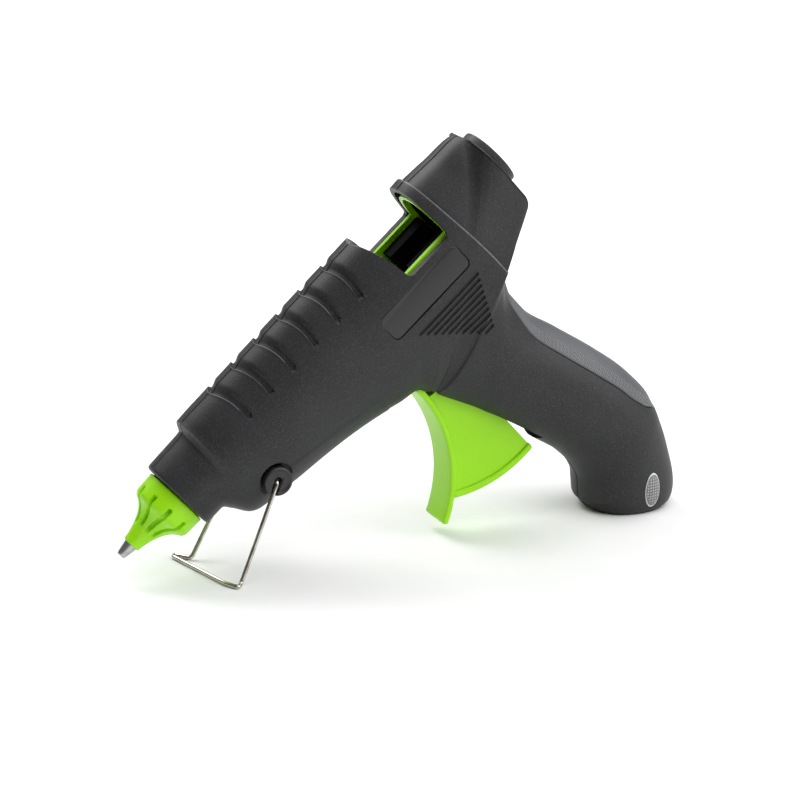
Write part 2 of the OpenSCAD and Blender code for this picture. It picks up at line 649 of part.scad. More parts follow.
// Feed: the carriage slides along the barrel and its jaw bites the stick
carriage_ri = carriage_r - carriage_t;
ring_l = 3.8;
cradle_x = carriage_x + 12.6;
module feed_carriage() {
    x1 = carriage_x + carriage_l;
    color("#84d11f") stand() difference() {
        tube(carriage_x, x1, carriage_r, carriage_ri);
        block([carriage_x + ring_l, x1 - 2], [-20, 20], [window_z + 0.4, 20]);
        block([carriage_x - 1, x1 + 1], [-7.4, 7.4], [-20, 0]);
        across(jaw_pivot, -20, 20, 1.2 + run);
    }
}
cradle_r = carriage_ri - 0.15;
jaw_w = 8.6;
module stick_cradle() {
    color("#141415") stand() difference() {
        along(cradle_x) cylinder(r = cradle_r, h = carriage_x + carriage_l - 1.2 - cradle_x);
        along(carriage_x) cylinder(r = stick_r + 0.6, h = carriage_l + 1);
        block([carriage_x, carriage_x + carriage_l], [-20, 20], [-0.4, 20]);
        block([carriage_x, carriage_x + 19], [-jaw_w / 2 - gap, jaw_w / 2 + gap],
            [-20, 0]);
        across(jaw_pivot, -20, 20, 1.2 + run);
    }
}
jaw_top = -stick_r - 0.35;
jaw_drop = lever_end[1] - jaw_pivot[1];
jaw_end = jaw_pivot + [0, jaw_drop];
module grip_jaw() {
    half = jaw_w / 2;
    pitch = 7 / jaw_teeth;
    color("#3a3b3d") stand() difference() {
        union() {
            translate([0, half, 0]) rotate([90, 0, 0]) linear_extrude(jaw_w)
                polygon(concat([[jaw_pivot[0] + 3.2, jaw_top - 1],
                    [jaw_pivot[0] + 3.2, jaw_pivot[1] - 2.6],
                    [jaw_pivot[0] - 8.4, jaw_pivot[1] - 2.6],
                    [jaw_pivot[0] - 8.4, jaw_top - 1]],
                    [for (i = [0 : jaw_teeth - 1], k = [0, 1])
                        [jaw_pivot[0] - 8 + pitch * (i + k * 0.7),
                            jaw_top - (k == 0 ? 0 : 1)]]));
            across(jaw_end, -half, half, 2.8);
            block([jaw_end[0] - 2.2, jaw_end[0] + 2.2], [-half, half],
                [jaw_end[1], jaw_pivot[1]]);
        }
        across(jaw_pivot, -20, 20, 1.2 + run);
        across(jaw_end, -20, 20, 1.2 + run);
        block([jaw_end[0] - 6, jaw_end[0] + 4], [-2.1, 2.1],
            [jaw_end[1] - 6, jaw_pivot[1] - 2]);
    }
}
module jaw_pin() {
    color("#b9bcc0") stand() across(jaw_pivot, -rail_y + 0.4, rail_y - 0.4, 1.2);
}
module link_pin() { color("#b9bcc0") stand() across(jaw_end, -jaw_w / 2, jaw_w / 2, 1.2); }
module lever_pin() {
    color("#b9bcc0") stand() across(lever_end, -lever_w / 2, lever_w / 2, 1.5);
}
// The link is open at the jaw's end: its eye there is wider than the pin
module drive_link() {
    t = 1.8;
    color("#7d8287") stand() difference() {
        union() {
            across(lever_end, -t, t, 2.8);
            across(jaw_end, -t, t, 2.8);
            block([lever_end[0], jaw_end[0]], [-t, t],
                [lever_end[1] - 1.6, lever_end[1] + 1.6]);
        }
        across(lever_end, -20, 20, 1.5 + run);
        across(jaw_end, -20, 20, 2);
    }
}

// Trigger: a curved finger plate, two side plates, the closing arc and the lever
face_c = pivot + [-60, -1];
module trigger() {
    w = trigger_w / 2;
    side = w - 0.9;
    hub_w = lever_w / 2 + 1.8;
    color("#84d11f") stand() difference() {
        union() {
            difference() {
                sector(face_c, face_r + face_t, -63.5, 3, -w, w);
                across(face_c, -w - 1, w + 1, face_r);
            }
            difference() {
                sector(pivot, arc_r, -131, -86, -w, w);
                across(pivot, -w - 1, w + 1, arc_r - arc_t);
                across(face_c, -w - 1, w + 1, face_r);
            }
            for (s = [-1, 1]) difference() {
                sector(pivot, arc_r - 0.6, -172, -86, s > 0 ? side - arc_t + 0.8 : -side,
                    s > 0 ? side : -side + arc_t - 0.8);
                across(face_c, -w - 1, w + 1, face_r + 0.6);
            }
            across(pivot, -hub_w, hub_w, 4.6);
            lever_bar();
            translate([0, 1.2, 0]) rotate([90, 0, 0]) linear_extrude(2.4)
                polygon([pivot + [0, 3], pivot + [9.4, 7.6], pivot + [8.6, 10.6],
                    pivot + [0, 8]]);
        }
        across(pivot, -20, 20, pivot_r + run);
        across(lever_end, -20, 20, 1.5 + run);
        across(spring_tab, -20, 20, 0.9);
        translate([0, 2.1, 0]) rotate([90, 0, 0]) linear_extrude(lever_slot)
            polygon([lever_end + [-5, 5], lever_end + [-5, -4.4],
                lever_end + [6, -4.4], lever_end + [6, 5]]);
    }
}
module lever_bar() {
    n = [cos(lever_rest), -sin(lever_rest)] * 3;
    across(lever_end, -lever_w / 2, lever_w / 2, 3);
    translate([0, lever_w / 2, 0]) rotate([90, 0, 0]) linear_extrude(lever_w)
        polygon([pivot - n, lever_end - n, lever_end + n, pivot + n]);
}
module trigger_pin() {
    color("#b9bcc0") stand() across(pivot, -pivot_half + 0.2, pivot_half - 0.2, pivot_r);
}
spring_r = 1.9;
spring_wire = 0.4;
coils = 7;
spring_tab = pivot + [7.4, 8.2];
module return_spring() {
    v = spring_post - spring_tab;
    l = norm(v);
    hook = 1.2 + spring_wire + 0.3;
    helix = [for (i = [0 : coils * 10]) [3.2 + (l - 7.6) * i / (coils * 10),
        spring_r * cos(36 * i), spring_r * sin(36 * i)]];
    path = concat([[0, -1.7, 0], [0, 1.9, 0], [1.6, 2.2, 0]], helix,
        [[l - 3.4, 1.4, 0], [l - 2.6, 0, -hook]],
        [for (a = [-90 : 30 : 120]) [l + hook * cos(a), 0, hook * sin(a)]]);
    color("#9a9ea3") stand() translate([spring_tab[0], 0, spring_tab[1]])
        rotate([0, -atan2(v[1], v[0]), 0]) bent_tube(path, spring_wire, 6, [0, 0, 1]);
}

// Stand: a bent wire whose ends turn in two hubs at the casing's sides
wire_r = wire_d / 2;
function foot(dx, y) = let (p = placed(reach(hub) + dx, wire_r)) [p[0], y, p[1]];
foot_near = 20.8;
splay = 6.6;
module stand_wire() {
    leg_y = hub_face - 1.1;
    in_y = hub_floor - stub_l + 0.3;
    points = [[hub[0], -in_y, hub[1]], [hub[0], -leg_y, hub[1]],
        foot(-foot_x, -foot_near + 2.6), foot(-foot_x - 1.8, -foot_near),
        foot(-foot_x - 4.4, -foot_near + 5), foot(-foot_x - 11.6, foot_out - 1),
        foot(-foot_x - 10.6, foot_out), foot(-foot_x - 8.4, foot_out - 2.4),
        foot(-foot_x - splay, foot_out - 5.2), [hub[0], leg_y, hub[1]],
        [hub[0], in_y, hub[1]]];
    color("#b8b3a8") stand() bent_tube(eased(points, 2), wire_r, 12, [1, 0, 0]);
}
// The slot that each leg lies in points along that leg
module hub_half(lean) {
    leg = foot(-foot_x - lean, 0) - [hub[0], 0, hub[1]];
    difference() {
        union() {
            across(hub, -hub_face, -hub_floor - 0.1, hub_r);
            across(hub, -hub_floor - 0.2, -hub_floor + stub_l, stub_r);
        }
        across(hub, -hub_face - 1, 0, wire_r + 0.04);
        translate([hub[0], -hub_face - 1, hub[1]])
            rotate([0, 90 - atan2(leg[2], leg[0]), 0])
            translate([-wire_r - 0.05, 0, -wire_r])
            cube([wire_d + 0.1, 4.5, hub_r + wire_r + 1]);
    }
}
module stand_hubs() {
    color("#1a1a1b") stand() for (s = [0, 1]) mirror([0, s, 0]) hub_half(s * splay);
}

// Lamp behind its lens in the butt
module lamp_lens() {
    color([0.75, 0.75, 0.75, 0.6]) stand() intersection() {
        form_half(0);
        lens_shape(0, -hw, -lens_back);
    }
}
module lamp() {
    color("#e8e2d0") stand()
        across(lens_place, -lens_back + 0.2, -lens_back + 1.8, 2.2);
}
module lamp_board() {
    color("#2f6b3a") stand() translate([lens_place[0], 0, lens_place[1]])
        rotate([0, tilt, 0])
        block([-3.5, 3.5], [-lens_back + 1.85, -lens_back + 3], [-5, 8]);
}

module stick_guide() {
    color("#1f1f21") stand() union() {
        tube(guide_x, head_end + collar_l, guide_ro, guide_ri);
        tube(head_x + 12.3, head_x + 13.8, guide_ro + 3, guide_ro - 0.5);
        tube(head_x + 8.2, head_x + 9.7, guide_ro + 3, guide_ro - 0.5);
    }
}

// Mains inlet in the base: a two-pin socket, its pins and the leads to the heater
socket_h = 15;
pin_pitch = 8.6;
module inlet_socket() {
    color("#17171a") stand() at_butt(socket) translate([0, 0, 0.4]) difference() {
        linear_extrude(socket_h) stadium(15.2, 9);
        translate([0, 0, -1]) linear_extrude(socket_h - 2) stadium(13.2, 7);
        for (s = [-1, 1]) translate([0, s * pin_pitch / 2, 0])
            cylinder(r = 1.22, h = socket_h + 1);
    }
}
module inlet_pins() {
    color("#c8cacc") stand() at_butt(socket) for (s = [-1, 1])
        translate([0, s * pin_pitch / 2, 3.6]) cylinder(r = 1.18, h = socket_h);
}
pin_top = socket_h + 3.6;
lead_start = placed(reach(socket), pin_top + 3.6);
heater_end = heater_x + heater_l + 3;
lead_out = gw - 7.4;
function lead_at(p, y) = [p[0], y, p[1]];
lead_route = [lead_at(lead_start, pin_pitch / 2),
    lead_at(on_handle(77.2, 17.8), lead_out - 4.4),
    lead_at(on_handle(65, 18.8), lead_out - 2.8),
    lead_at(on_handle(52.6, 19.2), lead_out - 1.4),
    lead_at(on_handle(40.4, 20.3), lead_out - 0.8),
    lead_at(on_handle(27.2, 21.5), lead_out - 0.4),
    lead_at(on_handle(11.6, 21.6), lead_out - 0.1),
    lead_at(on_handle(-2.7, 19), lead_out),
    lead_at([window_x - 7.6, -26.4], lead_out),
    lead_at([window_x - 17.6, -23], lead_out - 0.2),
    lead_at([window_x - 26.6, -19.4], lead_out - 1.4),
    [heater_end + 6.5, 6, clip_z - 0.8], [heater_end + 2.3, 4, element_z - 1.6]];
module lead(side) {
    bent_tube([for (p = lead_route) [p[0], side * p[1], p[2]]], lead_r, 8, [0, 1, 0]);
}
module lead_live() { color("#7a4a2a") stand() lead(1); }
module lead_neutral() { color("#3b5f9a") stand() lead(-1); }
module lead_terminals() {
    color("#d9b44a") stand() for (s = [-1, 1]) {
        at_butt(socket) translate([0, s * pin_pitch / 2, pin_top + 0.1]) difference() {
            cylinder(r = 1.6, h = 2.9);
            translate([0, 0, -0.1]) cylinder(r = 0.6, h = 3.2);
        }
        translate([heater_end, s * 4, element_z - 1.6]) rotate([0, 90, 0])
            translate([0, 0, -1.8]) cylinder(r = 1.1, h = 3.6);
    }
}

screw_l = 12.4;
module case_screws() {
    color("#6c7075") stand() for (p = screw_places) difference() {
        union() {
            across(p, 6.1, 8, screw_head_r);
            across(p, 6.2 - screw_l, 6.2, screw_r);
        }
        across(p, 7.1, 10, 1);
    }
}

shell_left();
shell_right();
grip_insert();
badge_left();
badge_right();
nozzle_cap();
nozzle_tip();
melt_chamber();
heater_element();
heater_plates();
heater_clip();
chamber_seat_front();
chamber_seat_rear();
inlet_sleeve();
sleeve_clip();
feed_carriage();
stick_cradle();
grip_jaw();
jaw_pin();
drive_link();
lever_pin();
link_pin();
trigger();
trigger_pin();
return_spring();
stand_wire();
stand_hubs();
lamp_lens();
lamp_board();
lamp();
stick_guide();
inlet_socket();
inlet_pins();
lead_live();
lead_neutral();
lead_terminals();
case_screws();
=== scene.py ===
"""Looks of a hot-melt glue gun for 11 mm sticks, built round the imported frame.

Lengths inside the classes are millimetres of the gun's own frame: x runs back along
the barrel from the mouth of the casing, z is up from the barrel's axis and y points to
the right side. GunFrame turns them into metres of the part's frame.
"""

import json
import logging
import math
from dataclasses import dataclass
from enum import Enum
from typing import Any, Callable, Optional, Sequence, Union

import bpy
import numpy as np
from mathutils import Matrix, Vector


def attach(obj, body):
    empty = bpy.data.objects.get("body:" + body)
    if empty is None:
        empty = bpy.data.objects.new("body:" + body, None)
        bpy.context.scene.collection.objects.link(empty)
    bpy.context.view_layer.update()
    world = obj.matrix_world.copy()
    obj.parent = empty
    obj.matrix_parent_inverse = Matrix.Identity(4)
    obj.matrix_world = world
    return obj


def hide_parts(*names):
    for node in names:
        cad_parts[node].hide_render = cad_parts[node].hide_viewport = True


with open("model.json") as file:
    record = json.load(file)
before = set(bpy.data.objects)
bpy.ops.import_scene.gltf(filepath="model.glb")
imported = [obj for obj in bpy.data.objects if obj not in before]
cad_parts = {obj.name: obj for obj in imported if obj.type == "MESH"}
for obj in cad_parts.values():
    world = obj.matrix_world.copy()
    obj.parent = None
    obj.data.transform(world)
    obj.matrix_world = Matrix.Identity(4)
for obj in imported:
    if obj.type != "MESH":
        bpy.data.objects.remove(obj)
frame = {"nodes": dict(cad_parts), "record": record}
log = logging.getLogger("glue_gun")
Array = np.ndarray
CREASE = (127.6, 2.2)  # x of the head's crease at its top, and how far it leans back below
CREASE_LAP = 0.8  # how far the hood laps over what is in front of the crease


class Side(Enum):
    """The gun's two sides, by the sign of y."""

    LEFT = -1
    RIGHT = 1


class Cut(Enum):
    """What a tool solid does to a blank."""

    REMOVE = "DIFFERENCE"
    ADD = "UNION"
    KEEP = "INTERSECT"


# ---------------------------------------------------------------- frame and solids


@dataclass(frozen=True)
class GunFrame:
    """The gun's frame inside the part's frame, read from the stick inlet's mount."""

    origin: tuple[float, float]
    cos: float
    sin: float
    inlet_x: float = 147.4

    @classmethod
    def from_record(cls, record: dict) -> "GunFrame":
        """Finds the frame from the stick inlet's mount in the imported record."""
        inlet = next(m for m in record["mounts"] if m["name"] == "stick_inlet")
        pos, axis = inlet["pos_m"], inlet["axis"]
        size = math.hypot(axis[0], axis[2])
        c, s = axis[0] / size, axis[2] / size
        return cls((pos[0] * 1e3 - c * cls.inlet_x, pos[2] * 1e3 - s * cls.inlet_x), c, s)

    def to_part(self, points: Array) -> Array:
        """Gun points, (..., 3), in metres of the part's frame: a turn by the tilt, a shift."""
        x, y, z = np.moveaxis(np.asarray(points, float), -1, 0)
        turned = [self.origin[0] + x * self.cos - z * self.sin, y,
                  self.origin[1] + x * self.sin + z * self.cos]
        return np.stack(turned, -1) / 1e3

    def placed(self, reach: Any, height: Any) -> Array:
        """x and z of the point at a reach along the table from the mouth and a height over it."""
        h = np.asarray(height, float) - self.origin[1]
        r = np.asarray(reach, float)
        return np.stack([r * self.cos + h * self.sin, h * self.cos - r * self.sin], -1)


@dataclass
class Solid:
    """A closed surface: points in the gun frame and faces as arrays of indices."""

    points: Array
    faces: list[Array]
    uv: Optional[Array] = None

    def volume(self) -> float:
        """Signed volume, summed over fans of triangles from each face's first corner."""
        total = 0.0
        for f in self.faces:
            p = self.points[f]
            a = p[:, :1].repeat(f.shape[1] - 2, 1)
            total += float((a * np.cross(p[:, 1:-1], p[:, 2:])).sum()) / 6
        return total

    def outward(self) -> "Solid":
        """The same solid with its faces pointing outwards."""
        faces = self.faces if self.volume() > 0 else [f[:, ::-1] for f in self.faces]
        return Solid(self.points, faces, self.uv)

    def mirrored(self) -> "Solid":
        """The same solid on the other side of the gun."""
        return Solid(self.points * [1, -1, 1], [f[:, ::-1] for f in self.faces], self.uv)

    def joined(self, *others: "Solid") -> "Solid":
        """One solid that holds this one and the others, unmerged."""
        points, faces, n = [self.points], list(self.faces), len(self.points)
        for o in others:
            faces += [f + n for f in o.faces]
            points.append(o.points)
            n += len(o.points)
        return Solid(np.concatenate(points), faces)


def loft(rings: Array) -> Solid:
    """A solid over a grid of points, (rows, columns, 3), whose columns close in rings."""
    n, m = rings.shape[:2]
    i, j = np.meshgrid(np.arange(n - 1), np.arange(m), indexing="ij")
    a, b = i * m + j, i * m + (j + 1) % m
    faces = [np.stack([a, b, b + m, a + m], -1).reshape(-1, 4),
             np.arange(m)[None, ::-1], (np.arange(m) + (n - 1) * m)[None]]
    return Solid(rings.reshape(-1, 3), faces).outward()


def lathe(profile: Array) -> Solid:
    """A solid of 72 sides about the x axis, from x and radius of each ring, (n, 2)."""
    a = np.linspace(0, 2 * np.pi, 72, endpoint=False)
    x = np.repeat(profile[:, :1], len(a), 1)
    return loft(np.stack([x, profile[:, 1:] * np.cos(a), profile[:, 1:] * np.sin(a)], -1))


def rod(path: Array, radius: Any, sides: int = 20, dome: bool = False) -> Solid:
    """A round bar along a path: a circle carried square to the path without twist.

    Args:
        path: Points of the path, (n, 3).
        radius: Radius, one number or one for each point.
        sides: Number of sides.
        dome: Whether the ends are domed.

    Returns:
        The solid.
    """
    path = np.asarray(path, float)
    radius = np.broadcast_to(np.asarray(radius, float), len(path)).copy()
    if dome:
        k = np.sin(np.linspace(0, np.pi / 2, 6))[:-1]
        t0, t1 = path[0] - path[1], path[-1] - path[-2]
        t0, t1 = t0 / np.linalg.norm(t0), t1 / np.linalg.norm(t1)
        low, high = radius[0], radius[-1]
        fall = np.sqrt(1 - k[::-1] ** 2)
        path = np.concatenate([path[0] + t0 * (low * k[::-1])[:, None], path,
                               path[-1] + t1 * (high * k)[:, None]][:3])
        radius = np.concatenate([low * np.maximum(fall, 0.02), radius,
                                 high * np.maximum(fall[::-1], 0.02)])
    tangent = np.gradient(path, axis=0)
    tangent /= np.linalg.norm(tangent, axis=1, keepdims=True)
    side = np.cross(tangent[0], [0.31, 0.87, 0.38])
    frames = []
    for t in tangent:
        side = side - t * (side @ t)
        side = side / np.linalg.norm(side)
        frames.append(side)
    u = np.array(frames)
    w = np.cross(tangent, u)
    a = np.linspace(0, 2 * np.pi, sides, endpoint=False)[None, :, None]
    ring = u[:, None] * np.cos(a) + w[:, None] * np.sin(a)
    return loft(path[:, None] + ring * radius[:, None, None])


def prism(outline: Array, y0: float, y1: float) -> Solid:
    """An outline of x and z, (n, 2), carried across the gun from y0 to y1."""
    outline = np.asarray(outline, float)
    ends = [np.insert(outline, 1, y, axis=1) for y in (y0, y1)]
    return loft(np.stack(ends))


def disc(centre: Sequence[float], radius: float, y0: float, y1: float,
         stretch: float = 1.0, turn: float = 0.0, n: int = 48) -> Solid:
    """A round or oval bar across the gun.

    Args:
        centre: x and z of its middle.
        radius: Its radius along the oval's long axis.
        y0: y of one end.
        y1: y of the other end.
        stretch: Width of the oval over its length.
        turn: Angle of the long axis from z, in radians.
        n: Number of sides.

    Returns:
        The solid.
    """
    a = np.linspace(0, 2 * np.pi, n, endpoint=False)
    p, q = radius * stretch * np.cos(a), radius * np.sin(a)
    x = centre[0] + p * math.cos(turn) + q * math.sin(turn)
    z = centre[1] - p * math.sin(turn) + q * math.cos(turn)
    return prism(np.stack([x, z], -1), y0, y1)


def rounded_box(length: float, height: float, radius: float, n: int = 8) -> Array:
    """Outline, (4 n, 2), of a plate with round corners: four arcs joined in order."""
    a = np.linspace(0, np.pi / 2, n)
    quarter = np.arange(4)[:, None] * np.pi / 2 + a
    cx = np.array([1, -1, -1, 1])[:, None] * (length / 2 - radius)
    cz = np.array([1, 1, -1, -1])[:, None] * (height / 2 - radius)
    return np.stack([cx + radius * np.cos(quarter), cz + radius * np.sin(quarter)],
                    -1).reshape(-1, 2)


def step(value: Any, low: float, high: float) -> Array:
    """A smooth rise from 0 at low to 1 at high: three squares less two cubes."""
    t = np.clip((np.asarray(value, float) - low) / (high - low), 0, 1)
    return t * t * (3 - 2 * t)


def monotone(knots: Array, values: Array, at: Array) -> Array:
    """A smooth curve through stations that never overshoots them.

    Each span is a cubic whose end slopes are weighted harmonic means of the chords'
    slopes, and zero where the chords turn.

    Args:
        knots: Places of the stations, (n,).
        values: Values at the stations, (n, k).
        at: Where the curve is wanted, (m,).

    Returns:
        The curve's values, (m, k).
    """
    h = np.diff(knots)[:, None]
    d = np.diff(values, axis=0) / h
    slope = np.zeros_like(values)
    slope[0], slope[-1] = d[0], d[-1]
    w1, w2 = 2 * h[1:] + h[:-1], h[1:] + 2 * h[:-1]
    same = d[:-1] * d[1:] > 0
    low = np.where(same, d[:-1], 1)
    high = np.where(same, d[1:], 1)
    slope[1:-1] = np.where(same, (w1 + w2) / (w1 / low + w2 / high), 0)
    k = np.clip(np.searchsorted(knots, at, "right") - 1, 0, len(knots) - 2)
    t = ((at - knots[k]) / h[k, 0])[:, None]
    return ((2 * t ** 3 - 3 * t ** 2 + 1) * values[k] + (t ** 3 - 2 * t ** 2 + t) * h[k] * slope[k]
            + (3 * t ** 2 - 2 * t ** 3) * values[k + 1] + (t ** 3 - t ** 2) * h[k] * slope[k + 1])


def bent(points: Array, radius: float, n: int = 9) -> Array:
    """A bent line with its corners rounded by curves of the second degree.

    Args:
        points: Corners, (k, 3).
        radius: How far from its corner a bend starts.
        n: Points of each bend.

    Returns:
        The line's points.
    """
    p = np.asarray(points, float)
    a, b, c = p[:-2], p[1:-1], p[2:]
    u, v = a - b, c - b
    lu, lv = np.linalg.norm(u, axis=1), np.linalg.norm(v, axis=1)
    d = np.minimum(radius, 0.45 * np.minimum(lu, lv))
    start, end = b + u * (d / lu)[:, None], b + v * (d / lv)[:, None]
    w = np.linspace(0, 1, n)[None, :, None]
    curve = start[:, None] * (1 - w) ** 2 + b[:, None] * 2 * w * (1 - w) + end[:, None] * w ** 2
    return np.concatenate([p[:1], curve.reshape(-1, 3), p[-1:]])


# ---------------------------------------------------------------- meshes in Blender


class Bench:
    """Turns solids into Blender objects in the part's frame."""

    def __init__(self, gun: GunFrame) -> None:
        """Keeps the gun's frame."""
        self.gun = gun

    def blank(self, name: str, solid: Solid, smooth: Optional[float] = 35) -> bpy.types.Object:
        """Makes an object of a solid.

        Args:
            name: The object's name.
            solid: The solid, in the gun frame.
            smooth: Edges sharper than this stay sharp, in degrees; None leaves flats.

        Returns:
            The object.
        """
        mesh = bpy.data.meshes.new(name)
        points = self.gun.to_part(solid.points)
        loops = np.concatenate([f.reshape(-1) for f in solid.faces])
        sizes = np.concatenate([np.full(len(f), f.shape[1]) for f in solid.faces])
        mesh.vertices.add(len(points))
        mesh.vertices.foreach_set("co", points.astype(np.float32).ravel())
        mesh.loops.add(len(loops))
        mesh.loops.foreach_set("vertex_index", loops.astype(np.int32))
        mesh.polygons.add(len(sizes))
        starts = np.concatenate([[0], np.cumsum(sizes)[:-1]])
        mesh.polygons.foreach_set("loop_start", starts.astype(np.int32))
        mesh.update(calc_edges=True)
        mesh.validate()
        if solid.uv is not None:
            layer = mesh.uv_layers.new(name="Pattern")
            layer.data.foreach_set("uv", solid.uv[loops].astype(np.float32).ravel())
        obj = bpy.data.objects.new(name, mesh)
        bpy.context.scene.collection.objects.link(obj)
        if smooth is not None:
            self.smooth(obj, smooth)
        return obj

    @staticmethod
    def smooth(obj: bpy.types.Object, angle: float) -> None:
        """Shades an object smooth but for edges sharper than an angle in degrees."""
        obj.data.shade_smooth()
        obj.data.set_sharp_from_angle(angle=math.radians(angle))

    def carve(self, obj: bpy.types.Object, tool: Union[Solid, bpy.types.Object],
              cut: Cut = Cut.REMOVE) -> None:
        """Cuts a tool solid out of an object, adds it, or keeps what they share.

        Args:
            obj: The object, whose mesh is changed.
            tool: The tool: a solid in the gun frame, or an object, which is used up.
            cut: What the tool does.
        """
        other = self.blank("tool", tool, None) if isinstance(tool, Solid) else tool
        mod = obj.modifiers.new("carve", "BOOLEAN")
        mod.operation, mod.object, mod.solver = cut.value, other, "MANIFOLD"
        graph = bpy.context.evaluated_depsgraph_get()
        made = bpy.data.meshes.new_from_object(obj.evaluated_get(graph))
        obj.modifiers.clear()
        old, obj.data = obj.data, made
        bpy.data.meshes.remove(old)
        mesh = other.data
        bpy.data.objects.remove(other)
        bpy.data.meshes.remove(mesh)

    def settle(self, obj: bpy.types.Object, body: str, slot: str, finish: "Finish",
               nodes: Sequence[str] = ()) -> bpy.types.Object:
        """Gives a piece its body, its finish and the CAD nodes that it stands for.

        Args:
            obj: The piece.
            body: The body it rides on.
            slot: The record's material slot; not used.
            finish: Its finish.
            nodes: The CAD nodes it replaces.

        Returns:
            The piece.
        """
        obj.data.materials.clear()
        obj.data.materials.append(finish.material())
        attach(obj, body)
        if nodes:
            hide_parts(*nodes)
        log.info("%s: %d faces on body %s", obj.name, len(obj.data.polygons), body)
        return obj


# ---------------------------------------------------------------- shader maths


Number = Union[float, "Tone"]


class Graph:
    """A material's node tree, filled through one method."""

    def __init__(self, name: str) -> None:
        """Starts an empty material.

        Args:
            name: The material's name.
        """
        self.mat = bpy.data.materials.new(name)
        self.mat.use_nodes = True
        self.tree = self.mat.node_tree
        self.tree.nodes.clear()

    def node(self, kind: str, settings: Optional[dict] = None,
             inputs: Optional[dict] = None) -> bpy.types.Node:
        """Adds a node: its settings first, then its sockets.

        Args:
            kind: The node's type without its prefix.
            settings: Properties of the node; "stops" fills a ramp.
            inputs: Values or links by socket name or index.

        Returns:
            The node.
        """
        made = self.tree.nodes.new("ShaderNode" + kind)
        for key, value in (settings or {}).items():
            if key == "stops":
                ramp = made.color_ramp
                while len(ramp.elements) < len(value):
                    ramp.elements.new(0.5)
                for element, (place, shade) in zip(ramp.elements, value):
                    element.position, element.color = place, shade
            else:
                setattr(made, key, value)
        for key, value in (inputs or {}).items():
            socket = made.inputs[key]
            if isinstance(value, Tone):
                self.tree.links.new(value.socket, socket)
            elif isinstance(value, bpy.types.NodeSocket):
                self.tree.links.new(value, socket)
            else:
                socket.default_value = value
        return made

    def tone(self, kind: str, settings: Optional[dict] = None, inputs: Optional[dict] = None,
             output: Union[str, int] = 0) -> "Tone":
        """Adds a node and wraps one of its outputs as a number."""
        return Tone(self, self.node(kind, settings, inputs).outputs[output])

    def noise(self, vector: Any, scale: float, detail: float = 2, rough: float = 0.5) -> "Tone":
        """Noise on a vector, with features of about 1 / scale."""
        return self.tone("TexNoise", {"noise_dimensions": "3D"},
                         {"Vector": vector, "Scale": scale, "Detail": detail,
                          "Roughness": rough}, "Fac")

    def shade(self, factor: "Tone", low: Sequence[float], high: Sequence[float]) -> Any:
        """The socket of a colour between two, each linear or a socket, by a factor."""
        def colour(c: Any) -> Any:
            """A colour with its alpha, or the socket as it is."""
            return c if isinstance(c, bpy.types.NodeSocket) else (*c, 1.0)
        made = self.node("Mix", {"data_type": "RGBA"},
                         {0: factor, 6: colour(low), 7: colour(high)})
        return made.outputs[2]

    def finish(self, inputs: dict, height: Optional["Tone"] = None, bump: float = 0.1,
               depth: float = 1e-4) -> bpy.types.Material:
        """Ends the tree in a Principled shader.

        Args:
            inputs: The shader's sockets.
            height: Height that a Bump node turns into a normal.
            bump: The Bump node's strength.
            depth: The Bump node's distance, in metres.

        Returns:
            The material.
        """
        if height is not None:
            inputs["Normal"] = self.node("Bump", None, {
                "Strength": bump, "Distance": depth, "Height": height}).outputs[0]
        shader = self.node("BsdfPrincipled", None, inputs)
        self.node("OutputMaterial", None, {"Surface": shader.outputs[0]})
        return self.mat


def operator(operation: str, swap: bool = False) -> Callable[["Tone", Number], "Tone"]:
    """A method for one of Python's operators, which adds a Math node."""
    def method(self: "Tone", other: Number) -> "Tone":
        """This number and the other, in one Math node."""
        return self.op(operation, other, swap=swap)
    return method


class Tone:
    """A number in a shader: Python's operators on it add Math nodes."""

    def __init__(self, graph: Graph, socket: bpy.types.NodeSocket) -> None:
        """Wraps an output socket of a tree."""
        self.graph, self.socket = graph, socket

    def op(self, operation: str, *others: Number, swap: bool = False) -> "Tone":
        """A Math node on this number and the others; swap puts this number last."""
        operands = [*others, self] if swap else [self, *others]
        return self.graph.tone("Math", {"operation": operation}, dict(enumerate(operands)))

    __add__ = __radd__ = operator("ADD")
    __sub__, __rsub__ = operator("SUBTRACT"), operator("SUBTRACT", True)
    __mul__ = __rmul__ = operator("MULTIPLY")
    __truediv__, __rtruediv__ = operator("DIVIDE"), operator("DIVIDE", True)
    __pow__ = operator("POWER")

    def __abs__(self) -> "Tone":
        """Size without sign."""
        return self.op("ABSOLUTE")

    def rise(self, low: float, high: float) -> "Tone":
        """A smooth rise from 0 at low to 1 at high."""
        return self.graph.tone("MapRange", {"interpolation_type": "SMOOTHSTEP"},
                               {0: self, 1: low, 2: high, 3: 0.0, 4: 1.0})


@dataclass(frozen=True)
class Place:
    """Object coordinates in millimetres, and the gun frame's x and z from them."""

    vector: bpy.types.NodeSocket
    x: Tone
    y: Tone
    z: Tone

    @classmethod
    def on(cls, graph: Graph, gun: GunFrame) -> "Place":
        """Reads the object's coordinates in a tree and turns them into the gun's frame."""
        coord = graph.node("TexCoord").outputs["Object"]
        scaled = graph.node("VectorMath", {"operation": "SCALE"},
                            {0: coord, "Scale": 1e3}).outputs[0]
        parts = graph.node("SeparateXYZ", None, {0: scaled}).outputs
        px, py, pz = (Tone(graph, s) for s in parts)
        dx, dz = px - gun.origin[0], pz - gun.origin[1]
        return cls(scaled, dx * gun.cos + dz * gun.sin, py, dz * gun.cos - dx * gun.sin)


# ---------------------------------------------------------------- finishes


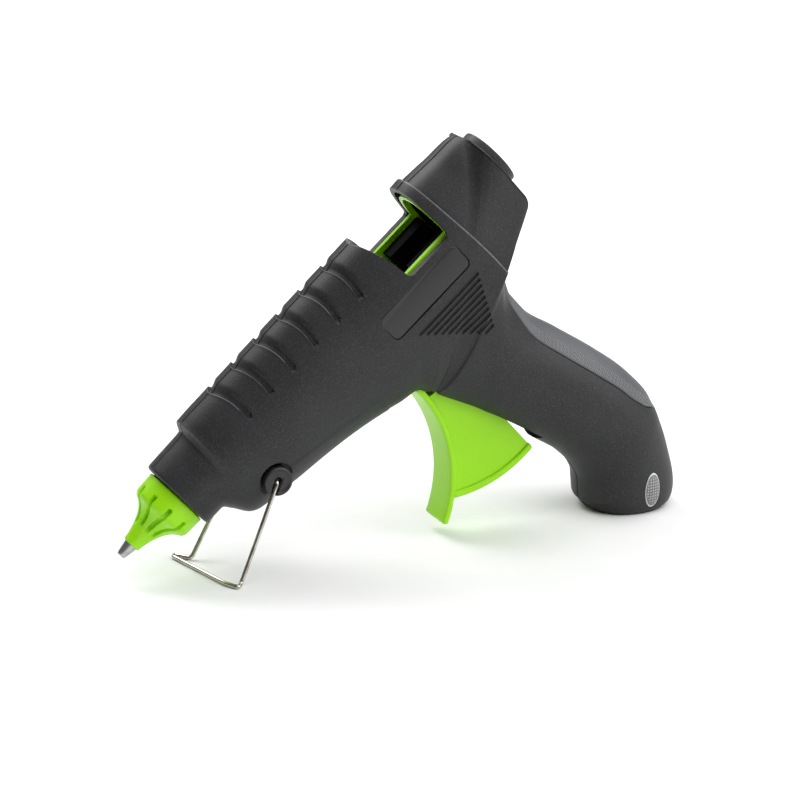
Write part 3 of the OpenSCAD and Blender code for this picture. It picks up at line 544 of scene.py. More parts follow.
@dataclass(frozen=True)
class Finish:
    """What all finishes share: a name and the gun's frame."""

    name: str
    gun: GunFrame

    def make(self, graph: Graph, place: Place) -> bpy.types.Material:
        """Builds the material.

        Args:
            graph: Its tree, still empty.
            place: Coordinates in that tree.

        Returns:
            The material.
        """
        raise NotImplementedError

    def material(self) -> bpy.types.Material:
        """The material, built once."""
        name = "finish_" + self.name
        known = bpy.data.materials.get(name)
        if known is not None:
            return known
        graph = Graph(name)
        return self.make(graph, Place.on(graph, self.gun))


@dataclass(frozen=True)
class Moulded(Finish):
    """Moulded plastic with a spark-eroded grain, faint flow marks and pale flecks."""

    colour: tuple[float, float, float] = (0.03, 0.03, 0.032)
    pale: tuple[float, float, float] = (0.05, 0.05, 0.055)
    roughness: float = 0.5
    grain: float = 0.35
    depth: float = 0.02
    flecks: float = 0.2
    gloss: float = 0.5
    glow: float = 0.0
    flow: float = 0.045

    def grained(self, graph: Graph, place: Place, spots: float,
                low: float, high: float) -> tuple[Tone, Tone, Tone, Tone]:
        """Noise that every moulding shares.

        Args:
            graph: The empty tree.
            place: Coordinates.
            spots: Size of the flecks' noise in grains.
            low: Noise where a fleck starts.
            high: Noise where it is full.

        Returns:
            Flow marks, grain, flecks and the surface's height.
        """
        cloud = graph.noise(place.vector, self.flow, 3)
        fine = graph.noise(place.vector, 1 / self.grain, 4, 0.6)
        pits = graph.tone("TexVoronoi", {"feature": "F1"},
                          {"Vector": place.vector, "Scale": 0.9 / self.grain}, "Distance")
        speck = graph.noise(place.vector, spots / self.grain, 2, 0.7).rise(low, high)
        return cloud, fine, speck, fine * 0.7 + pits * 0.5

    def make(self, graph: Graph, place: Place) -> bpy.types.Material:
        """Builds the plastic."""
        cloud, fine, speck, height = self.grained(graph, place, 0.7, 0.62, 0.74)
        tone = cloud.rise(0.3, 0.7) * 0.45 + fine.rise(0.35, 0.75) * 0.3 + speck * self.flecks
        base = graph.shade(tone, self.colour, self.pale)
        rough = self.roughness + (fine - 0.5) * 0.12 + (cloud - 0.5) * 0.1
        return graph.finish({"Base Color": base, "Roughness": rough,
                             "Specular IOR Level": self.gloss,
                             "Subsurface Weight": self.glow,
                             "Subsurface Radius": (1.0, 1.0, 0.4),
                             "Subsurface Scale": 0.0015},
                            height, 0.55, self.depth * 1e-3)


@dataclass(frozen=True)
class Casing(Moulded):
    """The casing's plastic: the moulded grain, with a painted highlight that makes it paler along its
    raised lines.
    """

    flow: float = 0.05
    crease: tuple[float, float] = CREASE

    def make(self, graph: Graph, place: Place) -> bpy.types.Material:
        """Builds the casing's plastic."""
        cloud, fine, speck, height = self.grained(graph, place, 1.0, 0.54, 0.68)
        # Painted highlight: the scallops' front edges, found by pointiness, and a thin line along the
        # head's crease are painted pale grey and a little less rough, standing in for the light they
        # catch.
        edge = graph.tone("NewGeometry", None, None, "Pointiness").rise(0.515, 0.56)
        edge = edge * (1 - place.x.rise(101, 105)) * place.z.rise(10.8, 12)
        off = place.x - self.crease[0] - (place.z * -1.0).rise(-17, 20) * self.crease[1]
        line = (1 - abs(off + 0.22).rise(0.12, 0.42)) * place.z.rise(-36, -18)
        # worn holds this painted edge highlight, not wear; the grain breaks it up a little.
        worn = edge.op("MAXIMUM", line) * (0.5 + 0.5 * fine.rise(0.3, 0.6))
        tone = cloud.rise(0.3, 0.7) * 0.4 + fine.rise(0.35, 0.75) * 0.6
        base = graph.shade(tone, self.colour, self.pale)
        base = graph.shade(speck * self.flecks, base, (0.055, 0.056, 0.06))
        # Mixes the painted edge highlight into the colour.
        base = graph.shade(worn * 0.75, base, (0.2, 0.2, 0.21))
        rough = self.roughness + (fine - 0.5) * 0.12 + (cloud - 0.5) * 0.1 - worn * 0.08
        return graph.finish({"Base Color": base, "Roughness": rough,
                             "Specular IOR Level": self.gloss},
                            height, 0.6, self.depth * 1e-3)


@dataclass(frozen=True)
class Metal(Finish):
    """Metal with drawn or turned marks, darker in the marks, and a little tarnish."""

    colour: tuple[float, float, float] = (0.62, 0.62, 0.62)
    dark: tuple[float, float, float] = (0.42, 0.41, 0.4)
    roughness: float = 0.28
    marks: tuple[float, float, float] = (1.0, 1.0, 1.0)

    def make(self, graph: Graph, place: Place) -> bpy.types.Material:
        """Builds the metal."""
        stretched = graph.node("Mapping", None, {"Vector": place.vector,
                                                 "Scale": self.marks}).outputs[0]
        drawn = graph.noise(stretched, 3.2, 4, 0.65)
        stain = graph.noise(place.vector, 0.22, 3)
        base = graph.shade(stain.rise(0.42, 0.72) * 0.7 + drawn.rise(0.45, 0.7) * 0.3,
                           self.colour, self.dark)
        rough = self.roughness + (drawn - 0.5) * 0.22 + stain.rise(0.5, 0.75) * 0.1
        return graph.finish({"Base Color": base, "Roughness": rough, "Metallic": 1.0},
                            drawn, 0.3, 1.2e-5)


@dataclass(frozen=True)
class SoftGrip(Finish):
    """Soft grip moulding: satin over the palm, with a knurled band along its edge."""

    colour: tuple[float, float, float] = (0.085, 0.088, 0.096)
    pale: tuple[float, float, float] = (0.125, 0.129, 0.138)

    def make(self, graph: Graph, place: Place) -> bpy.types.Material:
        """Builds the grip; its piece's map holds the way along and the distance from the edge."""
        uv = graph.node("UVMap", {"uv_map": "Pattern"}).outputs[0]
        parts = graph.node("SeparateXYZ", None, {0: uv}).outputs
        along, inset = Tone(graph, parts[0]) * 100, Tone(graph, parts[1]) * 100
        band = inset.rise(0.5, 1.0) * (1 - inset.rise(4.4, 5.6))
        lean = along + inset * 0.8
        rows = abs((lean / 1.25).op("FRACT") - 0.5).rise(0.1, 0.36)
        broken = abs(((inset + along * 0.35) / 1.5).op("FRACT") - 0.5).rise(0.06, 0.22)
        knurl = rows * broken * band
        fine = graph.noise(place.vector, 3.0, 4, 0.6)
        cloud = graph.noise(place.vector, 0.06, 3)
        tone = cloud.rise(0.3, 0.7) * 0.5 + fine.rise(0.35, 0.7) * 0.3
        base = graph.shade(tone, self.colour, self.pale)
        base = graph.shade(knurl * 0.85, base, (0.2, 0.2, 0.205))
        rough = 0.46 + (fine - 0.5) * 0.16 + band * 0.08
        return graph.finish({"Base Color": base, "Roughness": rough,
                             "Specular IOR Level": 0.5},
                            knurl * 2.4 + fine * 0.25, 0.7, 1.6e-4)


@dataclass(frozen=True)
class Prismed(Finish):
    """The lamp's lens: clear grey plastic over a grid of small round prisms, with painted glints on the
    prisms and a painted highlight round its rim.
    """

    centre: tuple[float, float] = (0.0, 0.0)

    def make(self, graph: Graph, place: Place) -> bpy.types.Material:
        """Builds the lens."""
        u, v = place.x - self.centre[0], place.z - self.centre[1]
        p = u * self.gun.cos - v * self.gun.sin
        q = u * self.gun.sin + v * self.gun.cos
        cu = (p / 1.05 + 0.5).op("FRACT") - 0.5
        cv = (q / 1.05 + 0.5).op("FRACT") - 0.5
        dot = 1 - (cu * cu + cv * cv).op("SQRT").rise(0.16, 0.42)
        oval = ((p / 3.1) ** 2.0 + (q / 6.3) ** 2.0).op("SQRT")
        rim = oval.rise(0.9, 0.985)
        inside = 1 - oval.rise(0.8, 0.9)
        mist = graph.noise(place.vector, 0.5, 3)
        base = graph.shade(mist, (0.11, 0.11, 0.113), (0.18, 0.18, 0.18))
        # Painted glints: the prisms are drawn paler than the clear grey plastic. Painted highlight: a
        # near-white ring round the lens's rim.
        base = graph.shade(dot * inside * 0.6, base, (0.55, 0.55, 0.55))
        base = graph.shade(rim, base, (0.78, 0.78, 0.78))
        rough = 0.2 + mist * 0.12
        return graph.finish({"Base Color": base, "Roughness": rough,
                             "Coat Weight": 0.4, "Coat Roughness": 0.08},
                            dot * inside, 0.6, 2.5e-4)


# ---------------------------------------------------------------- casing


@dataclass(frozen=True)
class CasingForm:
    """Sizes and surface of the casing's left half.

    The surface has two parameters: the way along the gun, and the angle round a
    section from its bottom or front point (0) to its top or back point (180).
    """

    gun: GunFrame
    nose_r: float = 13.6
    nose_l: float = 16.0
    top: float = 17.0
    half_w: float = 17.5
    head_half_w: float = 18.7
    barrel_l: float = 99.6
    window_l: float = 24.0
    head_l: float = 28.4
    hood_taper: float = 0.14
    lip: float = 1.15
    belly: float = 24.5
    rake: float = 16.5
    back: float = 40.4
    grip_half_w: float = 17.2
    toe: float = 12.6
    base_front: float = 155.6
    base_l: float = 28.4
    wall: float = 2.2
    recess: float = 2.6
    first_scallop: float = 31.8
    pitch: float = 11.1
    scallops: int = 6
    scallop_depth: float = 1.05
    scallop_end: float = 18.9
    scallop_sweep: float = 5.9
    seam: float = 0.13
    mouth_r: float = 1.3
    side_lip: float = 0.7
    grip_rows: tuple[int, int] = (28, 36)
    shares: tuple = (0.985, 0.94, 0.885, 0.835, 0.80, 0.79, 0.79, 0.83, 0.94)

    def on_handle(self, u: float, v: float) -> tuple[float, float]:
        """x and z at u down the handle from the throat and v from front to back."""
        s, c = math.sin(math.radians(self.rake)), math.cos(math.radians(self.rake))
        x, z = self.barrel_l + self.window_l - 39.6, -41.0
        return x + u * s + v * c, z - u * c + v * s

    def stations(self) -> Array:
        """The sections, one row each.

        A row holds the bottom point, the top point, the half width, the roundness, how
        far the section would run on past its top point, and the roundness of its top.

        Returns:
            One row for each station, (n, 8).
        """
        r, n, w = self.nose_r, self.nose_l, self.half_w
        rows = [(0, -r, 0, r, r, 2), (n * .44, -r, n * .44, r + .2, r + .1, 2),
                (n * .58, -r - 2.8, n * .84, r + .3, r + 1, 2),
                (n * .81, -self.belly + 1.9, n, r + .6, r + 1.8, 2.05),
                (n, -self.belly + .2, n + 2, self.top + .2, w - 1.4, 2.1)]
        for x in (23, 32, 43, 54, 65, 76, 87, 95):
            k = (x - n) / (self.barrel_l - n)
            under = -self.belly - 8.2 * k - 4.3 * (max(0, k - .35) / .65) ** 2.4
            rows.append((n + (x - n) * .735, under, x, self.top + .4 + .4 * x / self.barrel_l,
                         w - 1.1 + (self.head_half_w - w + .8) * k, 2.1 + .1 * k))
        tx, tz = self.barrel_l + self.window_l - 39.6, -41.0
        hx, h, g = self.barrel_l + self.window_l, self.head_half_w, self.grip_half_w
        end, top = hx + self.head_l, self.top
        rows += [(tx + bx, tz + bz, x, z, wide, round_, run, back) for
                 bx, bz, x, z, wide, round_, run, back in [
            (-3.6, 3.8, hx - 12, top + .8, h - .1, 2.25, 0, 2.25),
            (-1.7, .8, hx, top + 1.6, h, 2.3, 0, 2.3),
            (-.9, -.3, hx + 3.4, top + 1.8, h, 2.3, 0, 2.3),
            (-.8, -.4, hx + 4.2, top + 1.75, h, 2.35, 0, 2.35),
            (-.5, -.6, hx + 15, top + 1.1, h, 2.4, 0, 2.4),
            (-.3, -.8, end - 1, top - .4, h, 2.5, 0, 2.4),
            (-.2, -1, end, top - 1.5, h, 2.5, 1.4, 2.45),
            (-.1, -1.1, end, top - 3.4, h, 2.5, 6, 2.5),
            (0, -1.2, end, top - 6, h, 2.5, 14.5, 2.6),
            (0, -1.3, end, top - 9.5, h, 2.5, 19.5, 3.2),
            (0, -1.4, end, 1.5, h, 2.5, 21.5, 4.6),
            (0, -1.5, end, -10, h, 2.5, 20, 4.6),
            (0, -1.6, end - .6, -12.9, h, 2.5, 17, 4),
            (0, -1.8, end - 2, -14.9, h, 2.5, 13, 3.6),
            (0, -2, end - 5.4, -17, h - .1, 2.45, 7, 3),
            (.6, -3.6, end - 12.6, -21.6, g + 1, 2.3, 0, 2.3)]]
        b, q = self.back, self.on_handle
        for lo, hi, w, n in [
                ((19.2, 1.6), (.4, b + 7.4), g + .7, 2.2), ((23, 1.8), (7.7, b + 3.2), g + .4, 2.15),
                ((27.8, 2.2), (17.3, b + .4), g + .1, 2.1), ((38.3, 2.6), (34.8, b), g - .2, 2.1),
                ((50.4, 2.8), (52.6, b - .1), g - .2, 2.1), ((60.2, 2.6), (67.4, b - 1.3), g, 2.1),
                ((66.6, 1.3), (76.7, b - 3.4), g + .2, 2.1),
                ((72.4, 2.6 - self.toe / 3), (83.7, b - 6.6), g + .4, 2.1),
                ((76.1, 2.6 - self.toe * .68), (89.2, b - 10.3), g + .4, 2.1),
                ((78.6, 2.6 - self.toe * .92), (96.3, b - 16.1), g + .2, 2.15)]:
            rows.append((*q(*lo), *q(*hi), w, n))
        f, l = self.base_front, self.base_l
        for a, za, c, zc, w in [(-1.7, 3, 3.4, 5.4, g - .6), (-1.2, 1.2, 2, 1.8, g - 1.5),
                                (0, 0, 0, 0, g - 2.8)]:
            rows.append((*self.gun.placed(f + a, za), *self.gun.placed(f + l + c, zc), w, 2.25))
        return np.array([row if len(row) == 8 else (*row, 0, row[5]) for row in rows], float)

    def knots(self, rows: Array) -> Array:
        """Way along the gun at each station: the longer of its two ends' travels."""
        low = np.hypot(*np.diff(rows[:, :2], axis=0).T)
        high = np.hypot(*np.diff(rows[:, 2:4], axis=0).T)
        return np.concatenate([[0], np.cumsum(np.maximum(low, high))])

    def grid(self, way: Array, share: Array, after: Array) -> dict[str, Array]:
        """The smooth form, before its details, on a grid.

        A section is a superellipse between its two end points: the angle's cosine runs
        between them, and the width is the n-th root of one less the cosine to the n.

        Args:
            way: Way along the gun of each row.
            share: Columns before the grip's edge, 0 to 1.
            after: Columns behind it, 0 to 1.

        Returns:
            Points, outward normals, angles, edge angles and row places.
        """
        rows = self.stations()
        knots = self.knots(rows)
        s = monotone(knots, rows, way)
        first = self.grip_rows[0]
        table = np.array([self.shares[0], *self.shares, self.shares[-1]])
        places = np.concatenate([[knots[0]], knots[first:first + 9], [knots[-1]]])
        run = 1 + s[:, 6] / np.hypot(s[:, 2] - s[:, 0], s[:, 3] - s[:, 1])
        t = np.minimum(monotone(places, table[:, None], way)[:, 0], 1 / run)
        edge = np.arccos(1 - 2 * t)[:, None]
        gap = math.radians(0.6)
        f = np.concatenate([edge * share, edge + gap + (np.pi - edge - gap) * after], 1)
        c = np.cos(f)
        power = np.where(c < 0, s[:, 7:8], s[:, 5:6])
        u = np.minimum(1, run[:, None] * (1 - c) / 2)
        x = s[:, 0:1] * (1 - u) + s[:, 2:3] * u
        z = s[:, 1:2] * (1 - u) + s[:, 3:4] * u
        hood = self.barrel_l + self.window_l + 5
        narrow = self.hood_taper * np.clip((x - hood) / (self.head_l - 5), 0, 1) \
            * np.clip((z + 26) / 6, 0, 1)
        y = -s[:, 4:5] * (1 - narrow) * np.maximum(1 - np.abs(c) ** power, 0) ** (1 / power)
        shift = step(s[:, 2:3], 21, 30) * (1 - step(s[:, 2:3], 104, 121)) * (s[:, 3:4] > 10)
        x = x + self.scallop_sweep * (-y / 16) ** 1.35 * np.clip(-c, 0, 1) * shift
        p = np.stack([x, y, z], -1)
        n = np.cross(np.gradient(p, axis=1), np.gradient(p, axis=0))
        n /= np.maximum(np.linalg.norm(n, axis=-1, keepdims=True), 1e-9)
        mid = (s[:, 0:2] + s[:, 2:4]) / 2
        out = (n[..., 0] * (x - mid[:, :1]) + n[..., 1] * y + n[..., 2] * (z - mid[:, 1:2]))
        n *= np.where(np.median(out) < 0, -1, 1)
        n[:, 0, 1] = n[:, -1, 1] = 0
        n /= np.maximum(np.linalg.norm(n, axis=-1, keepdims=True), 1e-9)
        grip = (way >= places[1]) & (way <= places[9])
        return {"p": p, "n": n, "f": f, "row_x": s[:, 2:3], "row_z": s[:, 3:4],
                "grip": grip[:, None] & (f > edge + gap / 2), "places": places}

    def crease_x(self, z: Array) -> Array:
        """x of the head's crease at a height: it leans back a little as it goes down."""
        return CREASE[0] + CREASE[1] * step(-np.asarray(z), -17, 20)

    def scallop(self, row_x: Array, arc: Array) -> Array:
        """Depth of the scallops under the smooth form.

        Each has a sharp front edge and a round lower end. Its floor runs out behind the
        edge: softly near the seam, and within half that width at the lower end.

        Args:
            row_x: x of each point's row at the top.
            arc: Distance from the seam round the barrel.

        Returns:
            The depth.
        """
        depth = np.zeros(np.broadcast(row_x, arc).shape)
        r, end = 1.2, self.scallop_end
        low = np.clip(arc / end, 0, 1)
        width = 5.0 - 2.6 * low
        for k in range(self.scallops):
            s = row_x - (self.first_scallop + k * self.pitch)
            q = np.clip(arc - (end - r), 0, None)
            inside = np.where(q > 0, r - np.hypot(q, s - r), s)
            wall = step(inside, -0.1, 0.3)
            run = 1 - step(s / width, 0.1 + 0.4 * low, 1) * (q <= 0)
            lip = 0.1 * np.exp(-((inside + 0.3) / 0.22) ** 2) * (s < r) * (arc < end + 1)
            depth = depth + self.scallop_depth * (0.82 + 0.18 * low) * wall * run * (s > -1) - lip
        return depth

    def detailed(self, g: dict[str, Array], lowered: bool = False) -> Array:
        """The surface with its details: heights are added along the outward normal.

        Args:
            g: The smooth form's grid.
            lowered: Whether it is the skin behind the head's crease, a lip further in.

        Returns:
            The points, (rows, columns, 3).
        """
        p, n, row_x = g["p"], g["n"], g["row_x"]
        x, y, z = np.moveaxis(p, -1, 0)
        d = np.linalg.norm(np.diff(p, axis=1), axis=-1)
        none = np.zeros((len(p), 1))
        top_arc = np.concatenate([np.cumsum(d[:, ::-1], 1)[:, ::-1], none], 1)
        low_arc = np.concatenate([none, np.cumsum(d, 1)], 1)
        barrel = (row_x < 108) & (g["row_z"] > 8)
        height = -self.scallop(row_x, top_arc) * barrel
        mouth = np.clip(1 - x / self.mouth_r, 0, 1)
        height -= 1.1 * (1 - np.sqrt(1 - mouth ** 2 + 1e-9)) * (x < self.mouth_r)
        height += 0.16 * np.exp(-((x - 18.1) / 0.55) ** 2) * step(z, -6, 4)
        if lowered:
            rim = 1 - 0.6 * step(x, 138, 151)
            sides = self.side_lip + (self.lip - self.side_lip) * step(z, 4, 16)
            height -= 0.05 + sides * step(z, -31, -14) * rim
        over = (z + 16.2) + 0.2002 * (x - 35.1)
        panel = step(-over, -0.3, 0.3) * step((x - 35.1) / 33.5, -0.3, -0.05) \
            * (1 - step(x, 69.5, 70.8))
        low = z + 25.3 + 0.135 * (x - 20)
        height += 0.28 * panel * step(low, -3.5, -1.5) * (x < 75) * (np.abs(y) > 4)
        height -= np.where(g["grip"], self.recess, 0)
        near = np.clip(1 - (np.abs(y) - self.seam) / 0.5, 0, 1)
        height -= 0.34 * (near * (np.minimum(top_arc, low_arc) < 6)) ** 2
        out = p + n * height[..., None]
        out[..., 1] = np.minimum(out[..., 1], -self.seam)
        return out

    def rows(self) -> Array:
        """Ways of the rows: fine over barrel and head, finer at the scallops' edges."""
        stations = self.stations()
        knots = self.knots(stations)
        web, end = knots[self.grip_rows[0]], knots[-1]
        even = np.concatenate([np.arange(0, web, 0.6), np.arange(web, end, 1.15), [end]])
        fine = np.linspace(0, web, 6000)
        top_x = monotone(knots, stations, fine)[:, 2]
        edges = self.first_scallop + self.pitch * np.arange(self.scallops)
        want = (edges[:, None] + np.array([-0.5, -0.25, -0.1, 0.05, 0.2, 0.36, 0.5, 0.8, 1.1,
                                           1.4, 1.7, 2.0, 2.2, 2.4, 2.6])).ravel()
        rise = fine[top_x <= 100.5]
        extra = np.interp(want, top_x[:len(rise)], rise)
        grip = knots[list(self.grip_rows)]
        marks = [*(grip - 0.04), *(grip + 0.04), 0.15, 0.35, 0.8, end - 0.4, end - 0.9]
        ways = np.sort(np.concatenate([even, extra, marks]))
        return ways[np.concatenate([[True], np.diff(ways) > 0.045])]

    def outer(self) -> tuple[Solid, Solid, dict[str, Array]]:
        """The casing half as a full solid, its lowered skin, and the smooth form's grid."""
        j = np.linspace(0, 1, 92)
        share = 0.82 * j + 0.18 * j ** 2.6
        fine = np.linspace(0.79, 0.905, 30)
        share = share[(share > 0.026) & ((share < 0.786) | (share > 0.909))]
        share = np.sort(np.concatenate([[0, 0.0035, 0.007, 0.0105, 0.015, 0.021], share, fine]))
        k = np.linspace(0, 1, 26)
        after = 1 - (0.75 * (1 - k) + 0.25 * (1 - k) ** 2.6)
        after = np.sort(np.concatenate([after, [0.93, 0.965, 0.982, 0.992]]))
        g = self.grid(self.rows(), share, after)
        return loft(self.detailed(g)), loft(self.detailed(g, True)), g

    def front(self) -> Solid:
        """All in front of the head's crease, and the handle, as a plate across the gun."""
        z = np.linspace(24, -36, 40)
        line = np.stack([self.crease_x(z), z], -1)
        top, under = [[-9, 40], [CREASE[0], 40]], [[260, -36.5], [260, -200], [-9, -200]]
        return prism(np.concatenate([top, line, under]), -40, 40)

    def hood(self) -> Solid:
        """All behind the head's crease, lapping a little over what is in front of it."""
        z = np.linspace(24, -37.3, 40)
        line = np.stack([self.crease_x(z) - CREASE_LAP, z], -1)
        top, behind = [[CREASE[0] - CREASE_LAP, 40]], [[260, -37.3], [260, 40]]
        return prism(np.concatenate([top, line, behind]), -40, 40)

    def inner(self) -> Solid:
        """The cavity: the smooth form a wall further in, run out past seam and mouth."""
        rows = self.stations()
        end = self.knots(rows)[-1]
        way = np.linspace(0, end - 4, 130)
        g = self.grid(way, np.linspace(0, 1, 22), np.linspace(0, 1, 8))
        deep = self.wall + self.recess * step(way, g["places"][1] - 6, g["places"][1])[:, None] \
            * (g["f"] > 0.6 * np.pi)
        p = g["p"] - g["n"] * deep[..., None]
        p[..., 1] = np.minimum(p[..., 1], -0.4)
        p[:, 0, 1] = p[:, -1, 1] = 1.0
        mouth = p[0].copy()
        mouth[:, 0] -= 3
        return loft(np.concatenate([mouth[None], p]))


@dataclass
class CasingHalf:
    """One half of the casing with its openings, and what the openings need."""

    form: CasingForm
    bench: Bench
    side: Side
    hub: tuple[float, float] = (26.1, -15.3)
    pivot: tuple[float, float] = (94.0, -37.0)
    badge_place: tuple[float, float] = (104.5, -6.2)
    badge_size: tuple[float, float] = (36.0, 9.8)
    lens_place: tuple[float, float] = (116.614, -128.673)
    screws: tuple = ((16.6, -17.0), (66.0, -24.6), (141.6, -13.6))
    handle_screws: tuple = ((44.0, 28.0), (75.0, 6.0))
    outside: float = 24.0
    boss_r: float = 3.7
    boss_ends: tuple = (14, 14, 15.5, 15, 14)
    pocket_r: float = 2.75
    pocket_floor: float = 6.0
    hub_pocket: tuple[float, float] = (6.3, 13.3)
    badge_floor: float = 17.9
    lens_pocket: tuple[float, float, float] = (6.65, 15.2, 0.485)
    socket_size: tuple[float, float, float] = (9.4, 15.6, 4.65)
    collar_z: float = 1.6
    collar_r: float = 10.8
    collar_end: float = 155.4
    bore_r: float = 7.65

    def window(self) -> Solid:
        """The feed window: a side profile with round corners, whose front end sweeps back."""
        rear, rim, r = self.form.barrel_l + self.form.window_l, 1.2, 1.6
        y = np.linspace(-self.outside, 1, 60)
        front = self.form.barrel_l + 4.8 * (np.clip(-y, 0, 30) / 17.5) ** 1.3
        a = np.linspace(0, np.pi / 2, 7)
        ones = np.ones_like(front)[:, None]
        x = np.concatenate([front[:, None], front[:, None] + r * (1 - np.cos(a)),
                            ones * (rear - r + r * np.sin(a)), ones * rear], 1)
        z = np.concatenate([ones * 26, ones * (rim + r - r * np.sin(a)),
                            ones * (rim + r - r * np.cos(a)), ones * 26], 1)
        return loft(np.stack([x, np.repeat(y[:, None], x.shape[1], 1), z], -1))

    def trigger_slot(self) -> Solid:
        """The trigger's slot: the arc's sweep and the throat in front of the pivot."""
        a = np.radians(np.linspace(-128, -62.5, 40))
        arc = np.stack([self.pivot[0] + 49.3 * np.cos(a), self.pivot[1] + 49.3 * np.sin(a)], -1)
        start = np.array([[94, -30], [80.4, -30], [80.4, -47], [74, -60]], float)
        return prism(np.concatenate([start, arc]), -7.6, 7.6)

    def side_y(self, g: dict[str, Array], x: Array, z: Array) -> Array:
        """The left side's y at x and z: on the tangent plane of the grid's nearest point."""
        p, n = g["p"][::2, ::2].reshape(-1, 3), g["n"][::2, ::2].reshape(-1, 3)
        keep = n[:, 1] < -0.25
        p, n = p[keep], n[keep]
        x, z = np.atleast_1d(x).astype(float), np.atleast_1d(z).astype(float)
        near = np.argmin((x.ravel()[:, None] - p[:, 0]) ** 2
                         + (z.ravel()[:, None] - p[:, 2]) ** 2, 1)
        q, m = p[near], n[near]
        y = q[:, 1] - (m[:, 0] * (x.ravel() - q[:, 0]) + m[:, 2] * (z.ravel() - q[:, 2])) / m[:, 1]
        return y.reshape(x.shape)

    def grooves(self, g: dict[str, Array]) -> Solid:
        """Ten round-ended grooves in a triangle, each carried along the side's surface."""
        made = []
        for k in range(10):
            t = (k + 0.15) / 10.2
            lo = 93.6 + (112.3 - 93.6) * t
            hi = 121.7 + (112.3 - 121.7) * t * 0.95
            x = np.linspace(lo, max(hi, lo + 1.0), 14)
            z = np.full(14, -15.1 - 20.6 * t)
            y = self.side_y(g, x, z)
            path = np.stack([x, y + 0.1, z], -1)
            made.append(rod(path, 0.66, 14, dome=True))
        return made[0].joined(*made[1:])

    def build(self) -> bpy.types.Object:
        """Makes the half: outside less cavity, plus collar and bosses, less openings.

        Returns:
            The casing half's object.
        """
        solid, lowered, self.surface = self.form.outer()
        left = self.side is Side.LEFT

        def sided(tool: Solid) -> Solid:
            """A tool made for the left side, on this side."""
            return tool if left else tool.mirrored()
        obj = self.bench.blank("casing_" + self.side.name.lower(), sided(solid), None)
        carve, far = self.bench.carve, -self.outside
        skin = self.bench.blank("skin", sided(lowered), None)
        carve(skin, self.form.hood(), Cut.KEEP)
        carve(obj, self.form.front(), Cut.KEEP)
        carve(obj, skin, Cut.ADD)
        carve(obj, sided(self.collar()), Cut.ADD)
        carve(obj, sided(self.form.inner()))
        places = [*self.screws, *(self.form.on_handle(*s) for s in self.handle_screws)]
        if not left:
            for p, out in zip(places, self.boss_ends):
                carve(obj, disc(p, self.boss_r, 0.6, out, n=36), Cut.ADD)
            for p in places:
                carve(obj, disc(p, self.pocket_r, self.pocket_floor, -far, n=40))
        x = self.collar_end + np.array([-12.5, 4])
        carve(obj, lathe(np.stack([x, np.full(2, self.bore_r)], -1)))
        carve(obj, sided(self.window()))
        carve(obj, self.trigger_slot())
        carve(obj, sided(disc(self.hub, self.hub_pocket[0], far, -self.hub_pocket[1], n=64)))
        length, height = self.badge_size
        plate = rounded_box(length + 0.5, height + 0.5, 2.45) + self.badge_place
        carve(obj, sided(prism(plate, far, -self.badge_floor)))
        carve(obj, sided(self.grooves(self.surface)))
        if left:
            r, floor, oval = self.lens_pocket
            carve(obj, disc(self.lens_place, r, far, -floor, oval, self.tilt()))
        carve(obj, self.socket())
        self.bench.smooth(obj, 32)
        return obj

    def collar(self) -> Solid:
        """Half of the collar round the stick's inlet, its rim eased."""
        a = np.linspace(np.pi / 2, 3 * np.pi / 2, 60)
        x = self.collar_end - np.array([12, 0.5, 0.12, 0])[:, None]
        r = self.collar_r - np.array([0, 0, 0.15, 0.55])[:, None]
        return loft(np.stack([x + 0 * a, r * np.cos(a) - self.form.seam,
                              self.collar_z + r * np.sin(a)], -1))

    def socket(self) -> Solid:
        """The mains inlet's recess, square to the table in the middle of the base."""
        place = self.form.gun.placed(self.form.base_front + self.form.base_l / 2, 0)
        p, q = rounded_box(*self.socket_size, 14).T
        h = np.array([-2.0, 9.0])[:, None]
        c, s = self.form.gun.cos, self.form.gun.sin
        return loft(np.stack([place[0] + p * c + h * s, q + 0 * h, place[1] - p * s + h * c], -1))

    def tilt(self) -> float:
        """The gun's tilt, in radians."""
        return math.atan2(self.form.gun.sin, self.form.gun.cos)

    def badge(self) -> Solid:
        """The bare badge plate: a plate with rounded rim that follows the side."""
        k = np.linspace(0, np.pi / 2, 7)
        inset = np.concatenate([[0.0], 0.45 * (1 - np.cos(k)), [1.5, 3.0, 4.4]])
        drop = np.concatenate([[0.9], 0.45 * (1 - np.sin(k)), [0, 0, 0]])
        length, height = self.badge_size
        rings = []
        for d, low in zip(inset, drop):
            o = rounded_box(length - 2 * d, height - 2 * d, max(2.2 - d, 0.3)) + self.badge_place
            y = self.side_y(self.surface, o[:, 0], o[:, 1]) + low + 0.08
            rings.append(np.insert(o, 1, y, axis=1))
        back = rings[0] * [1, 0, 1] - [0, self.badge_floor + 0.05, 0]
        solid = loft(np.array([back, *rings]))
        return solid if self.side is Side.LEFT else solid.mirrored()

    def lens(self) -> Solid:
        """The lamp's oval lens: rings that shrink to its middle over a low dome."""
        a = np.linspace(0, 2 * np.pi, 64, endpoint=False)
        c, s = self.form.gun.cos, self.form.gun.sin
        rings = []
        for k, rise in [(1, -1.6), (1, -0.25), (0.985, -0.08), (0.955, 0.02), (0.93, 0.0),
                        (0.8, 0.12), (0.6, 0.22), (0.35, 0.3), (0.1, 0.32), (0.01, 0.32)]:
            p, q = 3.15 * k * np.cos(a), 6.5 * k * np.sin(a)
            x = self.lens_place[0] + p * c + q * s
            z = self.lens_place[1] - p * s + q * c
            y = self.side_y(self.surface, x, z) - rise
            rings.append(np.stack([x, y, z], -1))
        return loft(np.array(rings))


